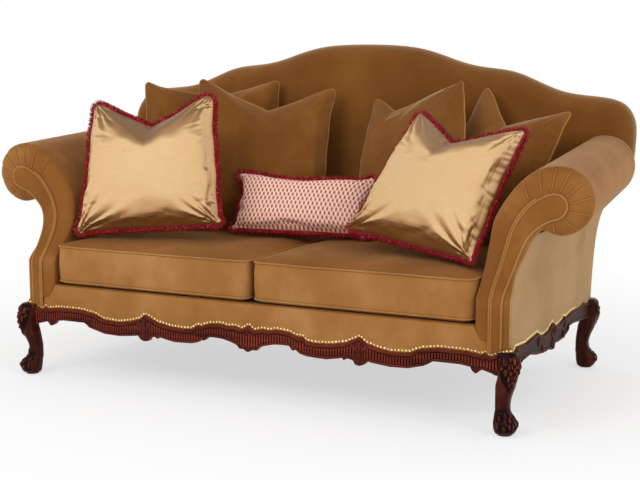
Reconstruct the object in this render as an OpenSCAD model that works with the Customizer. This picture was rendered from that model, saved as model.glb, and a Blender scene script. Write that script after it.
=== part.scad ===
// Sofa on cabriole legs: a carved serpentine apron, rolled arms, a camel back,
// two loose seat cushions and seven scatter cushions.
// Lengths are in millimetres. X runs from left to right, Y from front to back, Z up.
// Inside the modules y starts at the line of the front feet; the whole is then centred.

/* [Overall] */
// Width over the outside of the arms, below their rolls
body_w = 1808; // [1700:1:1920]
// Depth from the upholstered front to the outside back, at the seat frame
body_d = 968; // [900:1:1040]
// Height of the middle of the back above the seat rails
back_rise = 914; // [860:1:970]
// Height of the seat cushions' front edge above the deck
seat_rise = 136; // [125:1:150]
// Setback of the upholstered front from the line of the front feet
front_setback = 16; // [10:1:22]

/* [Seat frame] */
// How far the seat rails reach down past the top of the legs
rail_lap = 45; // [40:1:52]
// Height of a seat rail
rail_h = 59; // [50:1:60]
// Thickness of a seat rail
rail_t = 32; // [24:1:36]
// Thickness of the shaped show-wood apron
apron_t = 22; // [18:1:26]
// How far the apron stands proud of the upholstery above it
apron_proud = 8; // [5:1:10]
// How far the lowest point of the apron hangs below the seat rails
apron_drop = 40; // [32:1:48]
// Height from the apron's lowest point to its highest
apron_rise = 93; // [84:1:95]
// Leg length of a triangular corner block
block_leg = 80; // [60:1:100]
// Radius of a leg bolt
bolt_r = 4; // [3:0.5:5]

/* [Legs] */
// How far a leg's top block stands out past the aprons
leg_proud = 3; // [1:0.5:6]
// Half width of the leg's square top block
leg_block_r = 23.5; // [20:0.5:26]
// Half width of the knee
knee_r = 38; // [34:1:40]
// Half width of the ankle
ankle_r = 25; // [22:1:30]
// Half width of the scrolled foot
foot_r = 33; // [28:1:36]
// Height of the top of the leg
leg_h = 250; // [240:1:252]
// How far a leg below its top block stands in from the corner
leg_tuck = 11; // [6:1:14]
// Radius of the glide under a foot
glide_r = 22; // [15:1:24]
// Thickness of the glide under a foot
glide_h = 3; // [2:0.5:5]

/* [Arms] */
// Thickness of the arm at the seat
arm_w = 114; // [100:1:125]
// Height of the arm from its underside to the top of its roll, at the front
arm_h = 550; // [520:1:580]
// Radius of the arm's roll
roll_r = 107; // [95:1:115]
// Radius of the flat scroll that the front welt goes round
scroll_r = 50; // [40:1:60]
// How far the middle of the roll lies outside the arm's outer face
roll_out = 106; // [90:1:120]
// How much further back the top of the arm's front is than its foot
facing_lean = 113; // [90:1:130]
// How far the roll moves inwards from front to back
roll_narrowing = 44; // [40:1:80]
// How far the roll rises from front to back
roll_climb = 42; // [20:1:60]
// Radius of the welt round the arm's front
arm_welt_r = 3.5; // [2.5:0.5:5]
// Thickness of the panel on the arm's front
facing_t = 3; // [2:0.5:5]
// Thickness of the outside panels of the arms and back
panel_t = 3.7; // [3:0.1:5]
// Thickness of the boards inside the arms and back
board_t = 30; // [24:1:31]
// Width of the posts inside the arms and back
post_w = 70; // [50:1:80]

/* [Back] */
// Thickness of the back at its underside
back_t = 174; // [150:1:185]
// Height of the frame inside the back, above the seat rails
back_frame_h = 655; // [560:1:690]
// Slope of the inside back, as its set back for each unit of height
inside_slope = 0.158; // [0.12:0.002:0.18]
// Slope of the outside back, as its set back for each unit of height
outside_slope = 0.13; // [0.1:0.002:0.15]
// How far the rounded top edge of the back reaches into its faces
back_round = 55; // [40:1:70]

/* [Seat cushions] */
// Height of the deck that the seat cushions lie on, above the seat rails
deck_rise = 70; // [66:1:74]
// Thickness of the cloth and straps under the seat
strap_t = 3; // [2:0.5:3]
// Rise of a seat cushion's crown over its edge
seat_crown = 16; // [10:1:22]
// Radius of the welts round a seat cushion
seat_welt_r = 4; // [3:0.5:5]
// Corner radius of a seat cushion, seen from above
seat_corner_r = 34; // [25:1:45]

/* [Scatter cushions] */
// Side of a silk cushion
silk_side = 490; // [460:1:500]
// Width of a silk cushion at its foot
silk_foot = 560; // [520:1:565]
// Thickness of a silk cushion
silk_t = 150; // [120:1:155]
// Side of a velvet cushion on the left
left_velvet_side = 568; // [520:1:570]
// Side of a velvet cushion on the right
right_velvet_side = 520; // [490:1:525]
// Width of the right rear velvet cushion at its foot
right_rear_foot = 480; // [460:1:500]
// Width of the right front velvet cushion at its foot
right_velvet_foot = 575; // [530:1:580]
// Thickness of the front left velvet cushion
front_velvet_t = 140; // [110:1:142]
// Thickness of the rear left velvet cushion
rear_velvet_t = 120; // [100:1:122]
// Thickness of the front right velvet cushion
right_velvet_t = 110; // [95:1:112]
// Width of the lumbar cushion
lumbar_w = 518; // [460:1:525]
// Height of the lumbar cushion
lumbar_h = 238; // [220:1:255]
// Thickness of the lumbar cushion
lumbar_t = 100; // [80:1:102]
// Length of the brush fringe
fringe_w = 15; // [10:1:16]
// Thickness of the brush fringe
fringe_t = 8; // [5:1:9]

/* [Nails and trim] */
// Radius of a nail's domed head
nail_r = 5.2; // [4:0.1:5.5]
// Height of a nail's domed head
nail_h = 2.6; // [1.5:0.1:3]
// Distance between nails
nail_pitch = 12.3; // [12:0.1:16]

/* [Hidden] */
$fn = 48;

// Colours
velvet = [0.66, 0.46, 0.24];
velvet_shade = [0.56, 0.37, 0.18];
mahogany = [0.30, 0.10, 0.07];
beech = [0.80, 0.65, 0.45];
brass = [0.85, 0.74, 0.42];
silk = [0.85, 0.72, 0.50];
crimson = [0.52, 0.08, 0.13];
lumbar_red = [0.72, 0.40, 0.33];

// Clearances
gap = 0.3;
hand_gap = 2;
overrun = 20;

// Main places, from the line of the front feet
half_w = body_w / 2;
rail_z = leg_h - rail_lap;
rail_top = rail_z + rail_h;
apron_low_z = rail_z - apron_drop;
deck_z = rail_top + deck_rise;
seat_h = deck_z + seat_rise;
back_h = rail_top + back_rise;
back_z = rail_top + 2 * strap_t + gap;
arm_z = back_z;
front_y = front_setback;
wood_y = front_y - apron_proud;
border_t = apron_t - apron_proud;
rail_y = wood_y + apron_t;
rear_y = front_y + body_d - panel_t - gap;
corner_x = half_w + apron_proud + leg_proud;
corner_front_y = wood_y - leg_proud;
corner_rear_y = front_y + body_d + leg_proud;
block_x = corner_x - 2 * leg_block_r;
block_front_y = corner_front_y + 2 * leg_block_r;
block_rear_y = corner_rear_y - 2 * leg_block_r;
arm_in_x = half_w - arm_w;
side_rail_x = half_w + apron_proud - apron_t;

function inside_y(z) = rear_y - back_t + inside_slope * (z - back_z);
function outside_y(z) = rear_y + outside_slope * (z - back_z);
function mix(a, b, s) = a + (b - a) * s;
function ramp(v, lo, hi) = max(0, min(1, (v - lo) / (hi - lo)));

// A table of [place, value] pairs read at a place between its rows
function table(rows, p, i = 0) =
    i >= len(rows) - 2 || p <= rows[i + 1][0]
        ? mix(rows[i][1], rows[i + 1][1], ramp(p, rows[i][0], rows[i + 1][0]))
        : table(rows, p, i + 1);

// Normal of a closed loop of 2D points at one of them, to the left of its run
function loop_normal(loop, i) =
    let (n = len(loop), a = loop[(i + n - 1) % n], b = loop[(i + 1) % n], d = b - a)
    [-d[1], d[0]] / norm(d);
function loop_offset(loop, dist) =
    [for (i = [0 : len(loop) - 1]) loop[i] + loop_normal(loop, i) * dist];
function reversed(list) = [for (i = [len(list) - 1 : -1 : 0]) list[i]];
function flat(lists) = [for (list = lists) for (item = list) item];

// Length of an open line of 2D points, up to one of them
function run_to(line, i) = i == 0 ? 0 : norm(line[i] - line[i - 1]) + run_to(line, i - 1);
// Point at a distance along the line, given the distances to its points
function along(line, runs, dist, i = 0) =
    i >= len(line) - 2 || dist <= runs[i + 1]
        ? mix(line[i], line[i + 1], (dist - runs[i]) / (runs[i + 1] - runs[i]))
        : along(line, runs, dist, i + 1);

// Side faces between rings that all have n points, seen clockwise from outside
function skin_faces(rings, n, flip) =
    [for (i = [0 : rings - 2]) for (j = [0 : n - 1])
        let (a = i * n + j, b = i * n + (j + 1) % n, c = b + n, d = a + n)
        each flip ? [[a, c, b], [a, d, c]] : [[a, b, c], [a, c, d]]];
function turned(faces, flip) = flip ? [for (f = faces) reversed(f)] : faces;

// Closed solid through a list of rings, with given faces on its first and last ring
module loft(rings, flip, first, last) {
    n = len(rings[0]);
    base = (len(rings) - 1) * n;
    caps = concat(turned(first, !flip), [for (f = turned(last, flip)) [for (v = f) v + base]]);
    polyhedron(flat(rings), concat(skin_faces(len(rings), n, flip), caps));
}
function whole_cap(n) = [[for (i = [0 : n - 1]) i]];

// Endless solid through sections that run round a closed path
module hoop(sections, flip) {
    n = len(sections[0]);
    count = len(sections);
    polyhedron(flat(sections), [for (i = [0 : count - 1]) for (j = [0 : n - 1])
        let (k = (i + 1) % count, m = (j + 1) % n)
        let (a = i * n + j, b = i * n + m, c = k * n + m, d = k * n + j)
        each flip ? [[a, c, b], [a, d, c]] : [[a, b, c], [a, c, d]]]);
}

module centred() {
    translate([0, -middle_y, 0]) children();
}
module mirrored(left) {
    mirror([left ? 1 : 0, 0, 0]) children();
}
module box(low, high) {
    translate(low) cube(high - low);
}

// Outline of the apron: shares of its half length, and of its rise
apron_top_share = [[0, 1], [0.026, 0.82], [0.061, 0.91], [0.089, 0.87], [0.118, 0.94],
    [0.173, 0.9], [0.214, 0.76], [0.228, 0.81], [0.25, 0.63], [0.289, 0.6], [0.35, 0.63],
    [0.411, 0.74], [0.451, 0.92], [0.469, 0.99], [0.491, 0.8], [0.543, 0.66], [0.595, 0.59],
    [0.666, 0.63], [0.694, 0.75], [0.715, 0.82], [0.78, 0.91], [0.881, 0.9], [0.926, 0.85],
    [0.938, 0.81], [0.951, 0.91], [0.971, 0.78], [1, 0.9], [1.045, 0.97]];
apron_low_share = [[0, 0.04], [0.021, 0.13], [0.037, 0.13], [0.048, 0.25], [0.075, 0.34],
    [0.112, 0.42], [0.149, 0.44], [0.177, 0.43], [0.186, 0.34], [0.195, 0.28], [0.205, 0.32],
    [0.223, 0.19], [0.25, 0.13], [0.286, 0.11], [0.332, 0.1], [0.376, 0.17], [0.399, 0.22],
    [0.406, 0.15], [0.42, 0.22], [0.443, 0.16], [0.451, 0.03], [0.469, 0], [0.487, 0.06],
    [0.5, 0.19], [0.527, 0.15], [0.589, 0.09], [0.66, 0.11], [0.719, 0.25], [0.733, 0.31],
    [0.76, 0.46], [0.85, 0.47], [0.9, 0.4], [0.906, 0.29], [0.922, 0.2], [0.935, 0.3],
    [0.943, 0.35], [0.971, 0.28], [1, 0.2]];
side_top_share = [[0, 0.91], [0.026, 1.04], [0.135, 0.96], [0.227, 1.01], [0.288, 1.04],
    [0.324, 0.86], [0.365, 0.82], [0.423, 0.86], [0.458, 0.99], [0.487, 1.04], [0.511, 0.85],
    [0.556, 0.82], [0.617, 0.9], [0.638, 1], [0.662, 0.9], [0.742, 0.97], [0.855, 0.96],
    [0.923, 1.03], [0.967, 0.91], [1, 0.91]];
side_low_share = [[0, 0.32], [0.058, 0.33], [0.069, 0.46], [0.18, 0.49], [0.261, 0.32],
    [0.316, 0.25], [0.387, 0.18], [0.408, 0.22], [0.46, 0.09], [0.488, 0.13], [0.503, 0.27],
    [0.54, 0.22], [0.609, 0.22], [0.654, 0.29], [0.684, 0.35], [0.692, 0.51], [0.763, 0.51],
    [0.829, 0.44], [0.93, 0.36], [1, 0.3]];

function apron_z(share) = apron_low_z + apron_rise * share;
// One half of the front apron's edge, and the whole edge from left to right
function half_edge(rows) = [for (r = rows) [r[0] * (block_x - gap), apron_z(r[1])]];
function whole_edge(half) =
    concat([for (i = [len(half) - 1 : -1 : 1]) [-half[i][0], half[i][1]]], half);
side_start = block_front_y + gap;
side_length = block_rear_y - gap - side_start;
function side_edge(rows) = [for (r = rows) [side_start + r[0] * side_length, apron_z(r[1])]];
front_top = whole_edge(half_edge(apron_top_share));

// Flat piece with an outline in X and Z, from one y to another
module across(outline, y0, y1) {
    translate([0, y1, 0]) rotate([90, 0, 0]) linear_extrude(y1 - y0) polygon(outline);
}
// Flat piece with an outline in Y and Z, from one x to another
module lengthways(outline, x0, x1) {
    translate([x0, 0, 0]) rotate([90, 0, 90]) linear_extrude(x1 - x0) polygon(outline);
}

// Seat rails, glued and blocked at the corners
module front_rail() {
    color(beech) centred() difference() {
        box([-block_x + gap, rail_y, rail_z], [block_x - gap, rail_y + rail_t, rail_top]);
        bolt_holes();
    }
}
module back_rail() {
    color(mahogany) centred() difference() {
        box([-block_x + gap, block_rear_y, rail_z], [block_x - gap, rear_y, rail_top]);
        bolt_holes();
    }
}
module side_rail(left) {
    color(beech) centred() mirrored(left) difference() {
        box([side_rail_x - rail_t, rail_y + rail_t, rail_z],
            [side_rail_x, block_rear_y - gap, rail_top]);
        bolt_holes();
    }
}

// Leg bolts run through the corner blocks, along the diagonal of each corner
bolt_z = rail_z + rail_h / 2;
bolt_head_r = bolt_r * 1.75;
bolt_head_h = bolt_r * 1.5;
block_in_x = side_rail_x - rail_t;
block_in_y = rail_y + rail_t;
module at_corners(which = [0 : 3]) {
    for (k = which) {
        right = k % 2 == 1;
        rear = k > 1;
        translate([0, rear ? corner_front_y + corner_rear_y : 0, 0])
            mirror([0, rear ? 1 : 0, 0]) mirror([right ? 0 : 1, 0, 0]) children();
    }
}
module bolt_line(r, start, length) {
    centre = corner_x - leg_block_r;
    translate([centre, corner_front_y + leg_block_r, bolt_z]) rotate([0, 0, 135])
        rotate([0, 90, 0]) translate([0, 0, start]) cylinder(r = r, h = length);
}
bolt_start = -leg_block_r / 3;
block_face = (block_in_y - corner_front_y - leg_block_r + block_leg / 2) * sqrt(2);
module bolt_holes() {
    at_corners() bolt_line(bolt_r + gap, bolt_start - gap, block_face + overrun);
}
module corner_blocks() {
    z0 = rail_z + bolt_head_r;
    color(beech) centred() difference() {
        at_corners() translate([block_in_x, block_in_y, z0])
            linear_extrude(rail_h - 2 * bolt_head_r)
                polygon([[0, 0], [-block_leg, 0], [0, block_leg]]);
        bolt_holes();
    }
}
module leg_bolts() {
    color("silver") centred() at_corners() {
        bolt_line(bolt_r, bolt_start, block_face - bolt_start + bolt_head_h / 2);
        bolt_line(bolt_head_r, block_face, bolt_head_h, $fn = 6);
    }
}

// Cabriole leg: rings of soft squares along an S from the corner block to the foot.
// Each row has a height as a share of the leg, the inset of the ring's middle from
// the corner as a share of the block's half width, and a radius.
foot_in = 10 / 23.5;
leg_share = [[0, foot_in, 0.8], [0.02, foot_in, 0.97], [0.07, foot_in, 1.07],
    [0.13, 0.5, 1], [0.21, 0.85, 0.9]];
leg_rings = concat(
    [for (r = leg_share) [r[0], r[1], r[2] * foot_r]],
    [[0.31, 1.12, ankle_r], [0.4, 1.05, ankle_r * 1.04], [0.52, 0.65, mix(ankle_r, knee_r, 0.6)],
    [0.63, 0.3, knee_r * 0.97], [0.73, 0.17, knee_r], [0.83, 0.4, mix(leg_block_r, knee_r, 0.55)],
    [0.93, 0.85, mix(leg_block_r, knee_r, 0.2)], [0.96, 1, leg_block_r], [1, 1, leg_block_r]]);
leg_sides = 12;
function soft_square(r, sides, power = 0.7) =
    [for (i = [0 : sides - 1]) let (a = 360 * i / sides)
        r * [sign(cos(a)) * pow(abs(cos(a)), power), sign(sin(a)) * pow(abs(sin(a)), power)]];
function leg_in(share) = leg_tuck * table([[0, 1], [0.63, 1], [0.73, 0.5], [0.93, 0], [1, 0]], share);
function leg_slim(share) = leg_tuck * table([[0, 0], [0.6, 0], [0.73, 0.5], [0.93, 0], [1, 0]], share);
module leg(k) {
    color(mahogany) centred() at_corners([k]) difference() {
        loft([for (row = leg_rings)
            let (in = row[1] * leg_block_r, z = mix(glide_h, leg_h, row[0]))
            [for (p = soft_square(row[2], leg_sides, row[0] > 0.95 ? 0.35 : 0.7))
                [corner_x - in - leg_in(row[0]) + p[0] * (1 - leg_slim(row[0]) / row[2]),
                    corner_front_y + in + p[1], z]]],
            true, whole_cap(leg_sides), whole_cap(leg_sides));
        bolt_line(bolt_r + gap, bolt_start - gap, block_face);
    }
}
module foot_glides() {
    in = foot_in * leg_block_r;
    color("dimgray") centred() at_corners()
        translate([corner_x - in - leg_tuck, corner_front_y + in, 0]) cylinder(r = glide_r, h = glide_h);
}

// Shaped aprons between the legs
module front_apron() {
    low = whole_edge(half_edge(apron_low_share));
    top = [for (p = front_top) if (abs(p[0]) <= block_x - gap) p];
    color(mahogany) centred() across(concat(low, reversed(top)), wood_y, rail_y);
}
module side_apron(left) {
    color(mahogany) centred() mirrored(left) lengthways(
        concat(side_edge(side_low_share), reversed(side_edge(side_top_share))),
        side_rail_x, half_w + apron_proud);
}

// Black cloth under the frame
module dust_cover() {
    color("black") centred() box(
        [gap - block_x, rail_y, rail_z - strap_t], [block_x - gap, rear_y, rail_z]);
}

// Straps from the front rail to the back rail, and from side to side over them
strap_w = 20 * strap_t;
strap_count = 9;
cross_count = 4;
deck_half = arm_in_x - hand_gap;
deck_rear_y = inside_y(back_z) - gap;
strap_half = arm_in_x - post_w - gap;
cross_half = side_rail_x - rail_t / 2;
module seat_webbing() {
    pitch = 2 * strap_half / strap_count;
    cross_start = post_y + post_w;
    cross_pitch = (arm_board_end - post_w - cross_start) / cross_count;
    color("tan") centred() {
        for (i = [0 : strap_count - 1])
            translate([-strap_half + pitch * (i + 0.5) - strap_w / 2, rail_y, rail_top])
                cube([strap_w, block_rear_y + rail_t / 2 - rail_y, strap_t]);
        for (i = [0 : cross_count - 1])
            translate([-cross_half, cross_start + cross_pitch * (i + 0.5) - strap_w / 2,
                rail_top + strap_t])
                cube([2 * cross_half, strap_w, strap_t]);
    }
}
module seat_deck() {
    color(velvet_shade) centred() box(
        [-deck_half, rail_y, rail_top + 2 * strap_t + gap], [deck_half, deck_rear_y, deck_z]);
}

// Upholstered front below the seat cushions and the feet of the arms
border_top = [for (p = whole_edge([for (r = apron_top_share)
    [r[0] * (block_x - gap), max(apron_z(r[1]), r[0] > 0.99 ? leg_h : 0) + gap]])) p];
module front_border() {
    end_x = border_top[len(border_top) - 1][0];
    side_z = arm_z - gap;
    top = [[end_x, side_z], [arm_in_x - gap, side_z], [arm_in_x - gap, deck_z],
        [-arm_in_x + gap, deck_z], [-arm_in_x + gap, side_z], [-end_x, side_z]];
    color(velvet) centred() across(concat(border_top, top), front_y, rail_y);
}

// Domed nails, as a row along a line in the plane of the fabric
dome_r = (nail_r * nail_r + nail_h * nail_h) / (2 * nail_h);
module dome() {
    rotate_extrude($fn = 24) polygon(concat([[0, 0]],
        [for (s = [0 : 0.25 : 1]) let (r = nail_r * (1 - s))
            [r, nail_h - dome_r + sqrt(dome_r * dome_r - r * r)]]));
}
nail_lift = nail_r * 1.3;
function nail_spots(line) =
    let (runs = [for (i = [0 : len(line) - 1]) run_to(line, i)], all = runs[len(line) - 1])
    let (count = floor(all / nail_pitch))
    [for (i = [0 : count]) along(line, runs, all * i / count) + [0, nail_lift]];
module front_nails() {
    color(brass) centred() for (p = nail_spots(border_top))
        translate([p[0], front_y, p[1]]) rotate([90, 0, 0]) dome();
}
module side_nails(left) {
    line = [for (p = side_edge(side_top_share)) p];
    color(brass) centred() mirrored(left) for (p = nail_spots(line))
        translate([half_w, p[0], p[1]]) rotate([0, 90, 0]) dome();
}

// Arm outline: shares of its thickness from the inner face, and of its height
arm_in_share = [[0, 0], [0, 0.263], [0, 0.339], [-0.01, 0.405], [-0.026, 0.498],
    [-0.01, 0.571], [0.026, 0.627], [0.13, 0.7], [0.44, 0.809], [0.88, 0.918], [1.36, 0.982]];
arm_out_share = [[1.36, 0.618], [1.28, 0.6], [1.175, 0.571], [1.044, 0.498],
    [0.912, 0.405], [0.92, 0.339], [0.965, 0.263], [0.965, 0]];
welt_in_share = [[0.447, 0], [0.447, 0.263], [0.447, 0.339], [0.456, 0.405], [0.509, 0.498],
    [0.579, 0.571], [0.63, 0.609], [0.7, 0.655], [0.9, 0.733], [1.16, 0.798], [1.49, 0.84]];
welt_out_share = [[1.43, 0.646], [1.13, 0.609], [1.07, 0.571], [0.94, 0.498],
    [0.86, 0.405], [0.825, 0.339], [0.79, 0.263], [0.79, 0]];
roll_turns = [90, 60, 30, 0, -30, -60, -90, -120];
// How much of the roll's narrowing and climb each point takes
narrow_share = concat([0, 0, 0, 0, 0, 0, 0, 0, 0, 0.3, 0.7], [1, 1, 1, 1, 1, 1, 1, 0.45],
    [0.1, 0, 0, 0, 0, 0, 0, 0]);
climb_share = concat([0, 0, 0, 0, 0, 0, 0, 0.25, 0.5, 0.8, 1], [1, 1, 1, 1, 1, 1, 1, 0.45],
    [0.1, 0, 0, 0, 0, 0, 0, 0]);
arm_rows = 7;

function arm_point(share) = [arm_in_x + arm_w * share[0], arm_z + arm_h * share[1]];
function arc_points(centre, r) = [for (a = roll_turns) centre + r * [cos(a), sin(a)]];
roll_centre = [half_w + roll_out, arm_z + arm_h - roll_r];
scroll_centre = roll_centre - [scroll_r / 5, scroll_r / 4];
function arm_loop(inner, outer, centre, r) = concat(
    [for (s = inner) arm_point(s)], arc_points(centre, r), [for (s = outer) arm_point(s)]);
arm_outline = arm_loop(arm_in_share, arm_out_share, roll_centre, roll_r);
welt_outline = arm_loop(welt_in_share, welt_out_share, scroll_centre, scroll_r);
arm_points = len(arm_outline);

// The front of the arm stands upright to a crease and then leans back
crease_z = arm_z + 0.263 * arm_h;
lean_top_z = arm_z + 0.597 * arm_h;
function facing_y(z) = front_y + 3 * gap
    + facing_lean * pow(sin(90 * ramp(z, crease_z, lean_top_z)), 1.15);
// Depth of the rounding from the welt to the silhouette, deeper round the scroll
function round_d(z) = arm_w * mix(0.12, 0.29, ramp(z, crease_z, lean_top_z));

function arm_ring_front(turn) =
    [for (i = [0 : arm_points - 1])
        let (p = mix(welt_outline[i], arm_outline[i], sin(turn)))
        [p[0], facing_y(p[1]) + round_d(p[1]) * (1 - cos(turn)), p[1]]];
function arm_ring(s) =
    [for (i = [0 : arm_points - 1])
        let (p = arm_outline[i] + s * [-roll_narrowing * narrow_share[i],
            roll_climb * climb_share[i]])
        [p[0], mix(facing_y(arm_outline[i][1]) + round_d(arm_outline[i][1]),
            inside_y(p[1]) - gap, s), p[1]]];
// The leaning front is closed row by row, and its flat top as one face
arm_front_cap = concat(
    [for (k = [0 : arm_rows - 2]) each let (m = arm_points - 1 - k)
        [[k, k + 1, m - 1], [k, m - 1, m]]],
    [[for (i = [arm_rows - 1 : arm_points - arm_rows]) i]]);

// Boards inside the arm: two posts that stand on the side rail, and a rail between them
post_y = front_y + facing_lean + post_w * 0.8;
post_x = side_rail_x - rail_t;
post_top = arm_z + arm_h * 0.615;
arm_board_end = inside_y(arm_z) - arm_welt_r;
module arm_post_boards(grow) {
    for (y = [post_y, arm_board_end - post_w])
        box([post_x - grow, y - grow, rail_top],
            [post_x + board_t + grow, y + post_w + grow, post_top + grow]);
}
module arm_rail_board(grow) {
    box([post_x - grow, post_y + post_w - grow, post_top - post_w / 2 - grow],
        [post_x + board_t + grow, arm_board_end - post_w + grow, post_top + grow]);
}
module arm(left) {
    color(velvet) centred() mirrored(left) difference() {
        loft(concat([for (turn = [0, 30, 60, 90]) arm_ring_front(turn)],
            [for (s = [0.2, 0.45, 0.7, 1]) arm_ring(s)]),
            true, arm_front_cap, whole_cap(arm_points));
        arm_post_boards(gap);
        arm_rail_board(gap);
    }
}
module arm_posts(left) {
    color(beech) centred() mirrored(left) arm_post_boards(0);
}
module arm_rail(left) {
    color(beech) centred() mirrored(left) arm_rail_board(0);
}
// Thin upholstered panel that fills the arm's front between the welts
module arm_facing(left) {
    loop = loop_offset(welt_outline, -2 * arm_welt_r - gap);
    first = loop[0];
    last = loop[arm_points - 1];
    ring = [for (i = [0 : arm_points - 1])
        i == 0 ? [first[0], arm_z] : i == arm_points - 1 ? [last[0], arm_z]
            : i < arm_rows || i >= arm_points - arm_rows
                ? [loop[i][0], welt_outline[i][1]] : loop[i]];
    color(velvet) centred() mirrored(left) loft(
        [for (depth = [facing_t + gap, gap]) [for (p = ring) [p[0], facing_y(p[1]) - depth, p[1]]]],
        true, arm_front_cap, arm_front_cap);
}
// Welt round the arm's front
module arm_welt(left) {
    sections = [for (i = [0 : arm_points - 1])
        let (end = i == 0 || i == arm_points - 1)
        let (n = end ? [i == 0 ? -1 : 1, 0] : loop_normal(welt_outline, i))
        let (p = welt_outline[i], y = facing_y(p[1]) - arm_welt_r - gap)
        [for (a = [0 : 60 : 300]) let (out = arm_welt_r * cos(a))
            [p[0] + n[0] * out, y - arm_welt_r * sin(a), p[1] + n[1] * out]]];
    color(velvet) centred() mirrored(left) loft(sections, false, whole_cap(6), whole_cap(6));
}
// Outside panel of the arm, down to the apron: flat to the crease and then curved
module outside_arm(left) {
    rows = [for (i = [1 : 5]) arm_outline[arm_points - 1 - i]];
    low = [for (p = side_edge(side_top_share)) [p[0], p[1] + gap]];
    z0 = rows[0][1];
    y0 = rail_y + gap;
    kept = [for (p = low) if (p[0] > y0) p];
    end = [low[len(low) - 1][0], arm_z - gap];
    color(velvet) centred() mirrored(left) union() {
        lengthways(concat([[y0, leg_h + gap], [side_start, leg_h + gap]], kept,
            [end, [inside_y(arm_z) - gap, end[1]],
            [inside_y(z0) - gap, z0], [y0, z0]]), half_w - panel_t, half_w);
        loft([for (p = rows)
            let (x = p[0] + gap, ya = facing_y(p[1]) + round_d(p[1]), yb = inside_y(p[1]) - gap)
            [[x, ya, p[1]], [x + panel_t, ya, p[1]], [x + panel_t, yb, p[1]], [x, yb, p[1]]]],
            true, whole_cap(4), whole_cap(4));
    }
}

// Camel back: shares of half the body's width, and of the back's height
back_share = [[1, 0.41], [1.02, 0.4915], [1.061, 0.543], [1.12, 0.586], [1.148, 0.6215],
    [1.161, 0.655], [1.162, 0.731], [1.162, 0.764], [1.138, 0.8055], [1.108, 0.826],
    [1.071, 0.84], [0.987, 0.8465], [0.904, 0.85], [0.842, 0.8615], [0.778, 0.879],
    [0.691, 0.909], [0.634, 0.923], [0.54, 0.928], [0.466, 0.9355], [0.385, 0.953],
    [0.316, 0.973], [0.225, 0.9915], [0.13, 0.9975]];
back_half = concat([[half_w, back_z]], [for (s = back_share) [s[0] * half_w, s[1] * back_h]]);
back_outline = concat(back_half, [[0, back_h]],
    [for (p = reversed(back_half)) [-p[0], p[1]]]);
back_points = len(back_outline);
function back_inset(z) = back_round * mix(0.1, 1, ramp(z, lean_top_z, arm_z + arm_h));
// One ring of the back: depth is 0 on its inside face and 1 on its outside face
function back_ring(inset, depth) =
    [for (i = [0 : back_points - 1])
        let (p = back_outline[i], q = p + loop_normal(back_outline, i) * back_inset(p[1]) * inset)
        [q[0], mix(inside_y(q[1]), outside_y(q[1]), depth), q[1]]];
back_rings = [for (r = [[1, 0], [0.35, 0.12], [0, 0.42], [0.1, 0.72], [0.6, 1]])
    back_ring(r[0], r[1])];

// Boards inside the back: two posts that stand on the back rail, and two rails
back_board_y = (block_rear_y + rear_y) / 2;
back_post_x = arm_in_x - post_w;
cross_top = deck_z - rail_top + 2 * post_w;
module leaning() {
    translate([0, back_board_y, rail_top]) rotate([-atan(outside_slope), 0, 0]) children();
}
module back_post_board(grow) {
    leaning() box([back_post_x - grow, -board_t / 2 - grow, -overrun],
        [back_post_x + post_w + grow, board_t / 2 + grow, back_frame_h + grow]);
}
module back_rail_board(top, grow) {
    leaning() box([-back_post_x - grow, -board_t / 2 - grow, top - post_w - grow],
        [back_post_x + grow, board_t / 2 + grow, top + grow]);
}
module back_post(left) {
    color(beech) centred() mirrored(left) difference() {
        back_post_board(0);
        box([0, 0, rail_z - rail_h], [half_w, 2 * body_d, rail_top]);
    }
}
module back_top_rail() {
    color(beech) centred() back_rail_board(back_frame_h, 0);
}
module back_cross_rail() {
    color(beech) centred() back_rail_board(cross_top, 0);
}
module back_upholstery() {
    color(velvet) centred() difference() {
        loft(back_rings, false, whole_cap(back_points), whole_cap(back_points));
        back_post_board(gap);
        mirrored(true) back_post_board(gap);
        back_rail_board(back_frame_h, gap);
        back_rail_board(cross_top, gap);
    }
}
// Outside back panel, down to the back rail
module outside_back() {
    ring = [for (p = back_ring(0.8, 1)) [p[0], p[1], p[2] < back_z + back_round
        ? rail_top + gap : p[2]]];
    color(velvet) centred() loft(
        [for (d = [gap, gap + panel_t]) [for (p = ring) [p[0], outside_y(p[2]) + d, p[2]]]],
        false, whole_cap(back_points), whole_cap(back_points));
}

// Seat cushion: rounded plan loops at rising heights
welt_out = (seat_welt_r + gap) * 0.75;
seat_in = welt_out + seat_welt_r;
seat_left_x = hand_gap / 2 + seat_in;
seat_right_x = arm_in_x - hand_gap - seat_in;
seat_front_y = front_y + border_t - 2 * welt_out;
function plan_loop(x0, x1, y0, y1, r, steps = 4) =
    [for (c = [[x1 - r, y0 + r, -90], [x1 - r, y1 - r, 0], [x0 + r, y1 - r, 90], [x0 + r, y0 + r, 180]])
        for (i = [0 : steps]) [c[0], c[1]] + r * [cos(c[2] + 90 * i / steps),
            sin(c[2] + 90 * i / steps)]];
function seat_plan(inset, z) = plan_loop(seat_left_x + inset, seat_right_x - inset,
    seat_front_y + inset, inside_y(z) - hand_gap - seat_in - inset,
    max(seat_corner_r - inset / 2, seat_welt_r));
cushion_z = deck_z + gap;
seat_thick = seat_h - cushion_z;
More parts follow.
